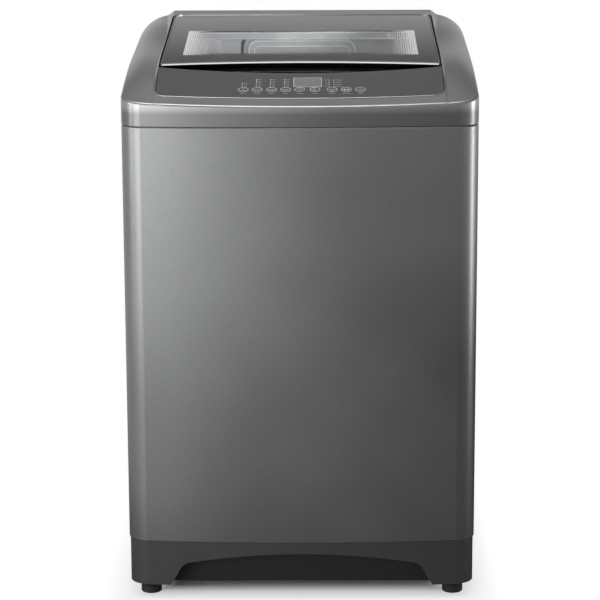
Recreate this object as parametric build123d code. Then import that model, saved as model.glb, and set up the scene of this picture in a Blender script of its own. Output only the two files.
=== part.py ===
"""Top load washing machine: a sheet steel cabinet, a sloping moulded top with a glass lid and a key panel,
and a hung tub that carries the spinning basket, the pulsator and the belt drive.

Millimetres. +Z is up, the front faces -Y, and the origin is on the floor below the basket's axis.
"""

import math
import os

from build123d import *

# Overall sizes
WIDTH = 670.0
DEPTH = 690.0
CABINET_BOTTOM = 116.0
CABINET_TOP = 921.0
FRONT = -DEPTH / 2
REAR = DEPTH / 2
FRONT_BOW = 20.0
FRONT_CORNER_R = 42.0
REAR_CORNER_R = 14.0
SEAM_GAP = 1.5

# Sheet steel cabinet
SHEET = 1.2
REAR_RECESS = 30.0
REAR_FLANGE = 26.0
CABINET_REAR = REAR - REAR_RECESS
HEM_DEPTH = 14.0
HEM_R = 4.0
REAR_PANEL_MARGIN = 8.0
LOUVRE_COUNT = 7
LOUVRE_PITCH = 22.0
LOUVRE_SIZE = (150.0, 6.0)
SCREW_R = 2.5
SCREW_HEAD_R = 4.5
SCREW_HEAD = 2.5
SCREW_ROWS = 5

# Moulded top: heights are of its outer surface, and "run" is the distance back from the front
PANEL_TILT = 19.5
LID_TILT = 6.0
PANEL_START_Z = CABINET_TOP + 39.5
LID_RUN = 165.0
LID_START_Z = PANEL_START_Z + LID_RUN * math.tan(math.radians(PANEL_TILT))
EDGE_FRONT_Z = CABINET_TOP + 47.0
EDGE_REAR_Z = CABINET_TOP + 105.0
EDGE_FRONT_RUN = 20.0
BAND_CROWN = 8.0
BAND_CROWN_RUN = 200.0
BAND_DROP = 10.0
BAND_DROP_RUN = 256.0
BAND_RAMP = 8.0
COVER_WALL = 3.0
OPENING_X = WIDTH / 2 - 64.0
BAND_INNER_X = OPENING_X + 5.0
OPENING_FRONT_RUN = 30.0
OPENING_BOW = 12.0
OPENING_REAR_RUN = DEPTH - 53.0
OPENING_CORNER_R = 20.0
SKIRT = 2.5
SKIRT_DEPTH = 30.0
COVER_EDGE_R = 5.0
COVER_RUNS = (-12.0, 60.0, 130.0, 200.0, DEPTH * 0.48, DEPTH * 0.70, DEPTH - 50.0, DEPTH + 12.0)

# Key panel
PANEL_GAP = 1.0
FASCIA = 2.5
FASCIA_REAR_RUN = 156.0
FASCIA_REAR_BOW = 25.0
FASCIA_EDGE_R = 0.8
CARRIER = 3.0
CARRIER_RIM = 18.0
KEY_R = 10.0
KEY_GAP = 0.3
KEY_TRAVEL = 1.0
KEY_FLANGE_R = KEY_R + 1.8
KEY_FLANGE = 1.0
KEY_REST_GAP = 0.2
KEY_STEM_R = 3.0
KEY_PROUD = 0.6
KEY_DISH_R = 48.0
SWITCH_HEIGHT = 3.5
KEY_RUN = 63.0
KEY_SPACE = 6.5
KEY_PITCH = 2 * KEY_R + KEY_SPACE
KEY_SHIFTS = (0.0, 0.0, 0.0, 0.0, 0.0, 2.0, 7.5, 7.5, 7.5)
KEY_X = tuple((i - 4) * KEY_PITCH + shift for i, shift in enumerate(KEY_SHIFTS))
DISPLAY_SIZE = (50.0, 36.0)
DISPLAY_X = 14.5
DISPLAY_RISE = 19.0
DISPLAY_RUN = KEY_RUN + KEY_R + DISPLAY_RISE
FIT_GAP = 0.2
BOARD_SIZE = (300.0, 84.0, 1.6)
BOARD_DROP = 12.0
BOARD_RUN = 82.0
RECESS_FLOOR = 40.0
RECESS_WALL = 2.5
TRAY_X = OPENING_X - 8.0
TRAY_REAR = 30.0

# Lid
LID_X = OPENING_X - 4.0
LID_REAR = (OPENING_REAR_RUN - LID_RUN) / math.cos(math.radians(LID_TILT)) - 6.6
LID_FRONT_BOW = 21.0
LID_THICK = 18.0
LID_WALL = 3.0
LID_CORNER_R = 5.0
LID_FRONT_R = 1.5
GLASS = 4.0
GLASS_MARGIN = 2.0
GLASS_FRONT_MARGIN = 10.0
WINDOW_X = LID_X - 37.0
WINDOW_FRONT = 82.0
WINDOW_REAR = LID_REAR - 158.0
WINDOW_R = 12.0
TRIM_DROP = 12.0
HINGE_PIN_R = 3.0
HINGE_R = HINGE_PIN_R + 2.0
HINGE_CLEARANCE = 0.06
HINGE_EAR_X = (LID_X - 15.0, LID_X - 5.0)
HINGE_NOTCH = 24.0
LID_REAR_THIN = 30.0
LID_REAR_THICK = 12.0
LID_INNER = 2.5
GLASS_REAR_MARGIN = 12.0
TRIM_NOSE = 2.2
LID_BUMPER_R = 6.0
BUMPER_X = LID_X - 18.0
BUMPER_V = (40.0, LID_REAR - 48.0)
LATCH_X = (OPENING_X - 27.0, OPENING_X - 13.0)
LATCH_V = 210.0
LATCH_DROP = 11.0
LEDGE_GAP = 3.0
LEDGE = 2.5

# Well below the lid, and the detergent drawer in its rear wall
WELL_X = OPENING_X - 39.0
WELL_FRONT = 60.0
WELL_REAR = LID_REAR - 32.0
WELL_TOP_R = 60.0
WELL_WALL = 2.5
WELL_FLOOR_Z = CABINET_TOP - 18.0
WELL_FLOOR_X = WELL_X - 7.0
WELL_FLOOR_RUN = (DEPTH / 2 - 212.0, OPENING_REAR_RUN - 57.0)
WELL_FLOOR_R = 100.0
MOUTH_LIP = 12.0
DRAWER_WIDTH = 208.0
DRAWER_HEIGHT = 78.0
BEZEL_RUN = OPENING_REAR_RUN - 59.0
DRAWER_BACK_RUN = BEZEL_RUN + 64.0
SCOOP_X = 36.0
DRAWER_Z = (WELL_FLOOR_Z + 33.0, WELL_FLOOR_Z + 43.0 + DRAWER_HEIGHT)
DRAWER_FRONT_X = DRAWER_WIDTH / 2 + 11.0
DRAWER_FRONT_R = 24.0
DRAWER_FRONT = 4.0
DRAWER_WALL = 2.0
DRAWER_GAP = 0.4
DRAWER_TRAVEL = 50.0
HOUSING_WALL = 2.5

# Basket axis parts, heights above the floor
TUB_R = 288.0
TUB_WALL = 3.0
TUB_FLOOR_Z = 262.0
TUB_FLOOR = 5.0
TUB_TOP_Z = CABINET_TOP - 71.0
TUB_CORNER_R = 28.0
TUB_RIM = 5.0
SPIN_SHAFT_R = 20.0
WASH_SHAFT_R = 10.0
SHAFT_CLEARANCE = 0.08
BEARING_R = SPIN_SHAFT_R + 14.0
BEARING = 14.0
SEAL_R = SPIN_SHAFT_R + 10.0
SEAL = 8.0
HUB_R = BEARING_R + 12.0
HUB_TOP_Z = TUB_FLOOR_Z + 16.0
DRAIN_R = 22.0
DRAIN_XY = (-120.0, 190.0)
BASKET_R = TUB_R - 32.0
BASKET_SHEET = 1.2
BASKET_BASE_Z = TUB_FLOOR_Z + 30.0
BASKET_BASE = 18.0
BASKET_TOP_Z = TUB_TOP_Z - 44.0
TUB_RING_INNER_R = BASKET_R - 20.0
TUB_RING_TOP_Z = TUB_TOP_Z + 18.0
MOUTH_R = TUB_RING_INNER_R - 31.0
BALANCE_WIDTH = 40.0
BALANCE_HEIGHT = 48.0
FILTER_DEPTH = 20.0
FILTER_WIDTH = 96.0
FILTER_Z = (BASKET_BASE_Z + 178.0, BASKET_TOP_Z - 116.0)
PULSATOR_R = BASKET_R - 66.0
PULSATOR_Z = BASKET_BASE_Z + 24.0
PULSATOR_RISE = 14.0
PULSATOR_SHEET = 5.0
PULSATOR_VANES = 6
VANE_HEIGHT = 20.0
SCREW_CAP_R = 13.0
PLATE_Z = TUB_FLOOR_Z - 14.0
PLATE = 4.0
PLATE_X = (-130.0, 258.0)
PLATE_WIDTH = 230.0
PLATE_POST_R = 9.0
GEARCASE_R = 76.0
GEARCASE_Z = (PLATE_Z - 102.0, PLATE_Z)
SPIN_SHAFT_LOW_Z = GEARCASE_Z[0] + 60.0
WASH_SHAFT_LOW_Z = GEARCASE_Z[0] + 46.0
INPUT_TOP_Z = GEARCASE_Z[0] + 36.0
PULLEY_R = 92.0
PULLEY_Z = (GEARCASE_Z[0] - 34.0, GEARCASE_Z[0] - 14.0)
MOTOR_PULLEY_R = 24.0
MOTOR_OFFSET = 172.0
MOTOR_R = 64.0
MOTOR_Z = (PLATE_Z - 98.0, PLATE_Z - 4.0)
MOTOR_SHAFT_R = 6.0
BELT_WIDTH = 10.0
BELT_THICK = 8.0
BELT_GAP = 0.3

# Suspension at the four corners
ROD_X = WIDTH / 2 - 89.0
ROD_Y = 240.0
ROD_R = 4.0
ROD_HEAD_R = 12.0
ROD_HOLE_GAP = 1.0
BRACKET_Z = CABINET_TOP - 49.0
BRACKET = 3.0
ROD_BOTTOM_Z = 300.0
ROD_CAP = 6.0
LUG_Z = 420.0
LUG = 24.0
SPRING_BORE_R = ROD_R + 5.0
SPRING_R = SPRING_BORE_R + 9.0
CUP_R = SPRING_R + 9.0
LUG_R = CUP_R + 1.0
ROD_CAP_R = SPRING_R + 4.0
CUP_WALL = 3.0
CUP_HEIGHT = 70.0

# Base and feet
BASE_INSET = 2.0
BASE_LEG_Z = 26.0
BASE_WALL = 4.0
BASE_TONGUE = 16.0
BASE_DECK = 62.0
ARCH_TOP_Z = 92.0
ARCH_HALF = WIDTH / 2 - 67.0
ARCH_SHOULDER = (ARCH_HALF - 40.0, 70.0)
KICK_RUN = 62.0
KICK_BOTTOM_Z = 18.0
SIDE_ARCH_TOP_Z = 74.0
FOOT_X = WIDTH / 2 - 41.0
FOOT_RUN = 58.0
FOOT_R = 20.0
FOOT_PAD = 18.0
FOOT_STUD_R = 5.0
FOOT_STUD = 46.0
FOOT_NUT_R = FOOT_STUD_R + 4.0
FOOT_NUT = 6.0
FOOT_BOSS_R = FOOT_STUD_R + 11.0
FOOT_TRAVEL = 12.0

# Services on the back
NIPPLE_R = 13.2
NIPPLE_LENGTH = 18.0
HOSE_ROOM = 1.5
NIPPLE_X = (-70.0, 70.0)
NIPPLE_Z = CABINET_TOP + 64.0
NIPPLE_BORE_R = NIPPLE_R - 5.2
POCKET_X = 120.0
POCKET_Z = (NIPPLE_Z - 30.0, NIPPLE_Z + 30.0)
SPIGOT_R = 15.0
SPIGOT_BORE_R = SPIGOT_R - 3.0
SPIGOT_LENGTH = 26.0
SPIGOT_X = 250.0
SPIGOT_Z = 168.0
GLAND_R = 10.0
GLAND_LENGTH = 20.0
GLAND_BORE_R = GLAND_R - 6.0
GLAND_X = -260.0
GLAND_Z = CABINET_TOP - 61.0
GLAND_FLANGE_IN = 0.0

CORNERS = [(sx, sy) for sx in (-1, 1) for sy in (-1, 1)]


# Helpers


def bar(x0, x1, y0, y1, z0, z1):
    """A box between two corners."""
    centre = ((x0 + x1) / 2, (y0 + y1) / 2, (z0 + z1) / 2)
    return Pos(*centre) * Box(x1 - x0, y1 - y0, z1 - z0)


def rod(radius, z0, z1, x=0.0, y=0.0):
    """An upright cylinder."""
    return Pos(x, y, (z0 + z1) / 2) * Cylinder(radius, z1 - z0)


def ring(outer, inner, z0, z1, x=0.0, y=0.0):
    """An upright tube."""
    return rod(outer, z0, z1, x, y) - rod(inner, z0 - 1, z1 + 1, x, y)


def spun(points):
    """A solid turned about the Z axis from (radius, height) corners."""
    return revolve(Plane.XZ * make_face(Polyline(*points, close=True)), Axis.Z)


def side_slab(points, half_width):
    """A solid with a (y, z) outline, as wide as the machine needs along X."""
    face = Plane.YZ * make_face(Polyline(*points, close=True))
    return extrude(face, half_width, both=True)


def rounded(face, radius, test=None):
    """A flat outline with its chosen corners rounded."""
    corners = [v for v in face.vertices() if test is None or test(v)]
    return fillet(corners, radius)


def bowed(half_x, front, bow, rear, rear_bow=0.0):
    """A flat outline with straight sides, and a front and rear that are arcs or straight."""
    left_front, right_front = (-half_x, front), (half_x, front)
    left_rear, right_rear = (-half_x, rear), (half_x, rear)
    edges = [Line(right_front, right_rear), Line(left_rear, left_front)]
    ends = ((left_front, right_front, front - bow), (right_rear, left_rear, rear + rear_bow))
    for start, end, middle in ends:
        straight = abs(middle - start[1]) < 1e-6
        edges.append(Line(start, end) if straight else ThreePointArc(start, (0, middle), end))
    return make_face(edges)


def plan(inset=0.0, rear=REAR):
    """The machine's outline from above: bowed front, round front corners."""
    front = FRONT + FRONT_BOW + inset
    face = bowed(WIDTH / 2 - inset, front, FRONT_BOW, rear - inset)
    face = rounded(face, max(FRONT_CORNER_R - inset, 8.0), lambda v: v.Y < 0)
    return rounded(face, max(REAR_CORNER_R - inset, 1.0), lambda v: v.Y > rear - inset - 1)


def upright(face, z0, z1):
    """A flat outline raised between two heights."""
    return Pos(0, 0, z0) * extrude(face, z1 - z0)


def tilted_plane(run, height, tilt):
    """A plane that rises towards the back, with its origin on the centre line."""
    lean = math.radians(tilt)
    return Plane((0, FRONT + run, height), x_dir=(1, 0, 0), z_dir=(0, -math.sin(lean), math.cos(lean)))


PANEL = tilted_plane(0.0, PANEL_START_Z, PANEL_TILT)
LID = tilted_plane(LID_RUN, LID_START_Z, LID_TILT)


def along_panel(run):
    """Distance up the panel's slope for a distance back from the front."""
    return run / math.cos(math.radians(PANEL_TILT))


def on_plane(plane, face, low, high):
    """A flat outline in a tilted plane's own axes, raised between two depths below or above it."""
    return plane * (Pos(0, 0, low) * extrude(face, high - low))


def middle_height(run):
    """Height of the top along the centre line."""
    if run < LID_RUN:
        return PANEL_START_Z + run * math.tan(math.radians(PANEL_TILT))
    return LID_START_Z + (run - LID_RUN) * math.tan(math.radians(LID_TILT))


def edge_height(run):
    """Height of the top along its outer edge: it levels off towards the back, and stays below the middle."""
    left = (DEPTH - run) / (DEPTH - EDGE_FRONT_RUN)
    level = EDGE_REAR_Z - (EDGE_REAR_Z - EDGE_FRONT_Z) * left * left
    return min(level, middle_height(run))


def grown(run, start, end):
    """A share that rises from 0 to 1 between two distances back from the front."""
    return min(max((run - start) / (end - start), 0.0), 1.0)


# Cabinet


def cabinet_wrap():
    """One sheet bent round the front and both sides, with a rolled top edge and hems at the back."""
    shell = rolled(upright(plan(0, CABINET_REAR), CABINET_BOTTOM, CABINET_TOP), HEM_R)
    hollow = upright(plan(SHEET, CABINET_REAR), CABINET_BOTTOM - 1, CABINET_TOP - SHEET)
    shell -= rolled(hollow, HEM_R - SHEET)
    shell -= upright(plan(HEM_DEPTH, CABINET_REAR), CABINET_TOP - SHEET - 1, CABINET_TOP + 1)
    clear_x = WIDTH / 2 - REAR_FLANGE
    shell -= bar(-clear_x, clear_x, 0, CABINET_REAR + 1, CABINET_BOTTOM - 1, CABINET_TOP + 1)
    return shell - wrap_screw_holes()


def rolled(block, radius):
    """A block with its upper edges rounded."""
    return fillet(block.edges().group_by(Axis.Z)[-1], radius)


def rear_screw_places():
    """The screws up both edges of the rear panel."""
    low, high = CABINET_BOTTOM + 30, CABINET_TOP - 30
    step = (high - low) / (SCREW_ROWS - 1)
    x = WIDTH / 2 - REAR_FLANGE / 2 - REAR_PANEL_MARGIN / 2
    return [(side * x, low + i * step) for side in (-1, 1) for i in range(SCREW_ROWS)]


def rear_panel():
    """A flat steel back with an embossed field, air slots and holes for the services."""
    half = WIDTH / 2 - REAR_PANEL_MARGIN
    sheet = bar(-half, half, CABINET_REAR, CABINET_REAR + SHEET, CABINET_BOTTOM, CABINET_TOP)
    field = bar(-half + 60, half - 60, 0, 4, CABINET_BOTTOM + 240, CABINET_TOP - 110)
    field = fillet(field.edges().filter_by(Axis.Y), 30)
    inner = Pos(0, -SHEET, 0) * field
    sheet += Pos(0, CABINET_REAR, 0) * field
    middle = bar(-half + 62, half - 62, -5, 3, CABINET_BOTTOM, CABINET_TOP)
    sheet -= Pos(0, CABINET_REAR, 0) * (inner & middle)
    for i in range(LOUVRE_COUNT):
        z = CABINET_BOTTOM + 60 + i * LOUVRE_PITCH
        slot = Box(LOUVRE_SIZE[0], 20, LOUVRE_SIZE[1])
        sheet -= Pos(0, CABINET_REAR, z) * fillet(slot.edges().filter_by(Axis.Y), LOUVRE_SIZE[1] / 2 - 0.1)
    for x, z, radius in ((SPIGOT_X, SPIGOT_Z, SPIGOT_R + 4), (GLAND_X, GLAND_Z, GLAND_R + FIT_GAP)):
        sheet -= Pos(x, CABINET_REAR, z) * Rot(90, 0, 0) * Cylinder(radius, 20)
    for x, z in rear_screw_places():
        sheet -= Pos(x, CABINET_REAR, z) * Rot(90, 0, 0) * Cylinder(SCREW_R + FIT_GAP, 20)
    return sheet


def wrap_screw_holes():
    """Holes in the wrap's rear hems for the panel screws."""
    holes = [Pos(x, CABINET_REAR, z) * Rot(90, 0, 0) * Cylinder(SCREW_R, 12) for x, z in rear_screw_places()]
    return Compound(children=holes)


def panel_screws():
    """Pan head screws that hold the rear panel."""
    screws = []
    for x, z in rear_screw_places():
        shank = Pos(0, 0, -4) * Cylinder(SCREW_R - FIT_GAP, 8)
        head = Pos(0, 0, SCREW_HEAD / 2) * Cylinder(SCREW_HEAD_R, SCREW_HEAD)
        head = fillet(head.edges().group_by(Axis.Z)[-1], 1.0)
        screws.append(Pos(x, CABINET_REAR + SHEET, z) * Rot(-90, 0, 0) * (shank + head))
    return screws


# Base and feet


def base_frame():
    """A moulded plinth: a hollow rim with four legs, arched openings and bosses for the feet."""
    outer = plan(BASE_INSET, CABINET_REAR)
    rim = upright(outer, BASE_LEG_Z, CABINET_BOTTOM)
    rim -= upright(plan(BASE_INSET + BASE_WALL, CABINET_REAR), BASE_LEG_Z - 1, CABINET_BOTTOM - BASE_WALL)
    deck_hole = plan(BASE_DECK, CABINET_REAR)
    rim -= upright(deck_hole, BASE_LEG_Z, CABINET_BOTTOM + 1)
    shoulder_x, shoulder_z = ARCH_SHOULDER
    arch = make_face(
        [
            ThreePointArc((-shoulder_x, shoulder_z), (0, ARCH_TOP_Z), (shoulder_x, shoulder_z)),
            Line((shoulder_x, shoulder_z), (ARCH_HALF, 0)),
            Line((ARCH_HALF, 0), (-ARCH_HALF, 0)),
            Line((-ARCH_HALF, 0), (-shoulder_x, shoulder_z)),
        ]
    )
    arch = rounded(arch, 26, lambda v: v.Y > 1)
    rim -= extrude(Plane.XZ * arch, REAR, both=True)
    half, top = DEPTH / 2 - 110, SIDE_ARCH_TOP_Z
    side = [(-half, 0), (-half + 26, top), (half - REAR_RECESS - 26, top), (half - REAR_RECESS, 0)]
    side_face = rounded(make_face(Polyline(*side, close=True)), 18, lambda v: v.Y > 1)
    rim -= extrude(Plane.YZ * side_face, WIDTH, both=True)
    tongue = plan(SHEET + FIT_GAP, CABINET_REAR)
    collar = upright(tongue, CABINET_BOTTOM - BASE_WALL, CABINET_BOTTOM + BASE_TONGUE)
    collar -= upright(plan(SHEET + FIT_GAP + 3, CABINET_REAR), 0, CABINET_BOTTOM + BASE_TONGUE + 1)
    rim += collar
    for x, y in foot_places():
        rim += rod(FOOT_BOSS_R, BASE_LEG_Z, CABINET_BOTTOM - 1, x, y)
        wall_x = math.copysign(WIDTH / 2 - BASE_INSET - 1, x)
        near, far = sorted((x, wall_x))
        rim += bar(near, far, y - BASE_WALL / 2, y + BASE_WALL / 2, BASE_LEG_Z + 2, CABINET_BOTTOM - 1)
    for x, y in foot_places():
        rim -= rod(FOOT_STUD_R + FIT_GAP, 0, FOOT_PAD + FOOT_STUD + 6, x, y)
    return rim


def foot_places():
    """Centres of the four feet, front pair first."""
    front, rear = FRONT + FOOT_RUN, CABINET_REAR - FOOT_RUN + 6
    return [(-FOOT_X, front), (FOOT_X, front), (-FOOT_X, rear), (FOOT_X, rear)]


def foot(index):
    """A screw foot: rubber shod pad, hexagon and stud."""
    x, y = foot_places()[index]
    pad = rod(FOOT_R, 0, FOOT_PAD - 5)
    pad = chamfer(pad.edges().group_by(Axis.Z)[0], 1.5)
    cone = spun([(0, FOOT_PAD - 5), (FOOT_R, FOOT_PAD - 5), (FOOT_R - 5, FOOT_PAD), (0, FOOT_PAD)])
    nut = Pos(0, 0, FOOT_PAD) * extrude(RegularPolygon(FOOT_NUT_R, 6), FOOT_NUT)
    stud = rod(FOOT_STUD_R, FOOT_PAD, FOOT_PAD + FOOT_STUD)
    return Pos(x, y, 0) * (pad + cone + nut + stud)


def kick_panel():
    """A dark plate behind the front arch, hung from the plinth's deck."""
    half = ARCH_HALF - 4
    y = FRONT + KICK_RUN
    plate = bar(-half, half, y, y + 3, KICK_BOTTOM_Z, CABINET_BOTTOM - BASE_WALL)
    plate = fillet(plate.edges().filter_by(Axis.Y).group_by(Axis.Z)[0], 12)
    hem = bar(-half + 14, half - 14, y + 3, y + 14, KICK_BOTTOM_Z, KICK_BOTTOM_Z + 3)
    lip = bar(-half, half, y, y + 14, CABINET_BOTTOM - BASE_WALL - 3, CABINET_BOTTOM - BASE_WALL)
    return plate + hem + lip


# Moulded top


def cover_section(run, inset=0.0):
    """One cross-section of the top: straight sides, a crowned band on each side and a flat middle."""
    high = middle_height(run) - inset
    inner_x = BAND_INNER_X + BAND_RAMP * grown(run, COVER_RUNS[5], OPENING_REAR_RUN)
    inner_z = high - BAND_DROP * grown(run, EDGE_FRONT_RUN, EDGE_FRONT_RUN + BAND_DROP_RUN)
    outer_x = WIDTH / 2 + 6 - inset
    outer_z = edge_height(run) - inset
    crown = 0.1 + BAND_CROWN * grown(run, EDGE_FRONT_RUN, EDGE_FRONT_RUN + BAND_CROWN_RUN)
    slope = math.hypot(outer_x - inner_x, inner_z - outer_z)
    push = (inner_z - outer_z) / slope, (outer_x - inner_x) / slope
    middle = ((inner_x + outer_x) / 2 + push[0] * crown, (inner_z + outer_z) / 2 + push[1] * crown)
    low = CABINET_TOP - 40
    edges = []
    for side in (1, -1):
        top = (side * (BAND_INNER_X - 5), high)
        band = (side * inner_x, inner_z)
        outer = (side * outer_x, outer_z)
        edges.append(Line(top, band))
        edges.append(ThreePointArc(band, (side * middle[0], middle[1]), outer))
        edges.append(Line(outer, (side * outer_x, low)))
    edges.append(Line((-BAND_INNER_X + 5, high), (BAND_INNER_X - 5, high)))
    edges.append(Line((-outer_x, low), (outer_x, low)))
    return Plane((0, FRONT + run, 0), x_dir=(1, 0, 0), z_dir=(0, -1, 0)) * make_face(edges)


def top_form(inset=0.0):
    """The solid that lies below the top surface."""
    return loft([cover_section(run, inset) for run in COVER_RUNS])


def opening(inset=0.0):
    """The opening in the top that holds the key panel and the lid."""
    front = FRONT + OPENING_FRONT_RUN + OPENING_BOW + inset
    face = bowed(OPENING_X - inset, front, OPENING_BOW, FRONT + OPENING_REAR_RUN - inset)
    return rounded(face, OPENING_CORNER_R - inset)


def top_cover():
    """A moulded silver top: crowned side bands that slope down to the front, round an open middle."""
    form = top_form()
    block = form & upright(plan(), CABINET_TOP + SEAM_GAP, CABINET_TOP + 200)
    edge = [e for e in block.edges() if e.center().Z > CABINET_TOP + 20 and on_outline(e)]
    block = fillet(edge, COVER_EDGE_R)
    inner = top_form(COVER_WALL) & upright(plan(COVER_WALL), CABINET_TOP, CABINET_TOP + 200)
    shell = block - inner
    rim = upright(plan(SEAM_GAP), CABINET_TOP, CABINET_TOP + 4)
    rim -= upright(plan(HEM_DEPTH + 3, CABINET_REAR), CABINET_TOP - 1, CABINET_TOP + 5)
    tongue = upright(plan(HEM_DEPTH + FIT_GAP, CABINET_REAR), CABINET_TOP - SKIRT_DEPTH / 2, CABINET_TOP + 4)
    tongue -= upright(plan(HEM_DEPTH + 3, CABINET_REAR), CABINET_TOP - SKIRT_DEPTH, CABINET_TOP + 5)
    band = upright(opening(-SKIRT), CABINET_TOP, CABINET_TOP + 200) & form
    band -= Pos(0, 0, -SKIRT_DEPTH) * form
    shell = shell + rim + tongue + band
    shell -= upright(opening(), CABINET_TOP - 1, CABINET_TOP + 200)
    low, high = POCKET_Z
    pocket = bar(-POCKET_X, POCKET_X, REAR - REAR_RECESS, REAR + 1, low, high)
    wall = HOUSING_WALL
    half = POCKET_X + wall
    shell += bar(-half, half, REAR - REAR_RECESS - wall, REAR - 1, low - wall, high + wall)
    shell -= pocket
    for x in NIPPLE_X:
        shell -= Pos(x, REAR - REAR_RECESS, NIPPLE_Z) * Rot(90, 0, 0) * Cylinder(NIPPLE_R + HOSE_ROOM, 20)
    return shell


def on_outline(edge):
    """True for an edge that lies on the machine's outer walls."""
    middle = edge @ 0.5
    return abs(middle.X) > WIDTH / 2 - 6 or middle.Y < FRONT + FRONT_BOW + 14 or middle.Y > REAR - 1


# Key panel


def panel_slab(low, high):
    """A layer parallel to the panel's surface, from the front to behind the hand recess."""
    face = Pos(0, 130) * Rectangle(WIDTH, 340)
    return on_plane(PANEL, face, low, high)


def lid_slab(low, high):
    """A layer parallel to the lid's surface, over the whole opening."""
    face = Pos(0, 240) * Rectangle(WIDTH, 620)
    return on_plane(LID, face, low, high)


def fascia_outline(inset=0.0):
    """The key panel from above: it follows the opening in front and is hollowed towards the hand recess."""
    front = FRONT + OPENING_FRONT_RUN + OPENING_BOW + inset
    rear = FRONT + FASCIA_REAR_RUN - inset
    face = bowed(OPENING_X - inset, front, OPENING_BOW, rear, -FASCIA_REAR_BOW)
    face = rounded(face, OPENING_CORNER_R - inset, lambda v: v.Y < FRONT + 100)
    return rounded(face, 3.0, lambda v: abs(v.X) > OPENING_X - inset - 0.5 and v.Y > FRONT + 120)


def key_places():
    """Places of the nine keys in the panel's own plane."""
    return [(x, along_panel(KEY_RUN)) for x in KEY_X]


def display_outline(inset=0.0, radius=3.0):
    """The display's outline in the panel's own plane."""
    wide, deep = DISPLAY_SIZE
    outline = RectangleRounded(wide - 2 * inset, deep - 2 * inset, radius)
    return Pos(DISPLAY_X, along_panel(DISPLAY_RUN)) * outline


def control_fascia():
    """The dark face of the key panel, with a round hole for each key and one for the display."""
    plate = upright(fascia_outline(PANEL_GAP), CABINET_TOP, CABINET_TOP + 200) & panel_slab(-FASCIA, 0)
    top = plate.faces().sort_by(Axis((0, 0, 0), PANEL.z_dir))[-1]
    plate = fillet(top.edges(), FASCIA_EDGE_R)
    for x, v in key_places():
        plate -= on_plane(PANEL, Pos(x, v) * Circle(KEY_R + KEY_GAP), -FASCIA - 1, 1)
    return plate - on_plane(PANEL, display_outline(-FIT_GAP), -FASCIA - 1, 1)


def tray_outline(grow=0.0):
    """The hand recess from above, behind the key panel and below the front of the lid."""
    front = FRONT + FASCIA_REAR_RUN + 0.5 - grow
    rear = FRONT + LID_RUN + TRAY_REAR * math.cos(math.radians(LID_TILT)) - RECESS_WALL + grow
    arc_end = (TRAY_X + grow, front)
    edges = [
        ThreePointArc((-arc_end[0], front), (0, front - FASCIA_REAR_BOW), arc_end),
        Line(arc_end, (TRAY_X + grow, rear)),
        Line((TRAY_X + grow, rear), (-TRAY_X - grow, rear)),
        Line((-TRAY_X - grow, rear), (-TRAY_X - grow, front)),
    ]
    return rounded(make_face(edges), 6 + grow)


def console_carrier():
    """A dark moulding below the key panel: key guides, bosses for the circuit board and the hand recess."""
    plate = upright(fascia_outline(PANEL_GAP + 0.5), CABINET_TOP, CABINET_TOP + 200)
    plate &= panel_slab(-FASCIA - CARRIER, -FASCIA)
    rim = upright(fascia_outline(PANEL_GAP + 0.5), CABINET_TOP, CABINET_TOP + 200)
    rim -= upright(fascia_outline(PANEL_GAP + 3), CABINET_TOP - 1, CABINET_TOP + 201)
    plate += rim & panel_slab(-CARRIER_RIM, -FASCIA)
    for x, v in key_places():
        plate -= on_plane(PANEL, Pos(x, v) * Circle(KEY_FLANGE_R + 0.5), -FASCIA - CARRIER - 1, 0)
    plate -= on_plane(PANEL, display_outline(-FIT_GAP), -FASCIA - CARRIER - 1, 0)
    for x, v in board_bosses():
        plate += on_plane(PANEL, Pos(x, v) * Circle(4), -BOARD_DROP, -FASCIA - 1)
    tray = upright(tray_outline(RECESS_WALL), CABINET_TOP, CABINET_TOP + 200)
    tray &= lid_slab(-RECESS_FLOOR - RECESS_WALL, 60) & panel_slab(-300, -FASCIA)
    hollow = upright(tray_outline(), CABINET_TOP, CABINET_TOP + 300) & lid_slab(-RECESS_FLOOR, 120)
    low = hollow.faces().sort_by(Axis((0, 0, 0), LID.z_dir))[0]
    hollow = fillet(low.edges(), 9.0)
    body = plate + tray - hollow
    clear = on_plane(LID, Pos(0, 240) * Rectangle(WIDTH, 480 + 2 * LEDGE_GAP), -LID_THICK - LEDGE_GAP, 100)
    return body - clear


def board_bosses():
    """Places of the bosses that hold the circuit board, in the panel's own plane."""
    half_x, half_v = BOARD_SIZE[0] / 2 - 8, BOARD_SIZE[1] / 2 - 6
    centre = along_panel(BOARD_RUN)
    return [(x, centre + v) for x in (-half_x, half_x) for v in (-half_v, half_v)]


def control_board():
    """The circuit board below the keys: one switch for each key, the display's carrier and two chips."""
    wide, deep, thick = BOARD_SIZE
    centre = along_panel(BOARD_RUN)
    top = -BOARD_DROP
    board = on_plane(PANEL, Pos(0, centre) * RectangleRounded(wide, deep, 3), top - thick, top)
    for x, v in key_places():
        board += on_plane(PANEL, Pos(x, v) * Rectangle(6, 6), top, top + SWITCH_HEIGHT - 1)
        board += on_plane(PANEL, Pos(x, v) * Circle(1.7), top, top + SWITCH_HEIGHT)
    lift = -FASCIA - CARRIER - 0.5
    board += on_plane(PANEL, display_outline(1.0), top, lift)
    for x, size in ((-95, (16, 16)), (92, (26, 12)), (-60, (10, 14))):
        board += on_plane(PANEL, Pos(x, centre - 20 + 40) * Rectangle(*size), top, top + 2)
    for x, v in board_bosses():
        board += on_plane(PANEL, Pos(x, v) * Circle(3.2), top - thick - 2, top - thick)
    return board


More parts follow.
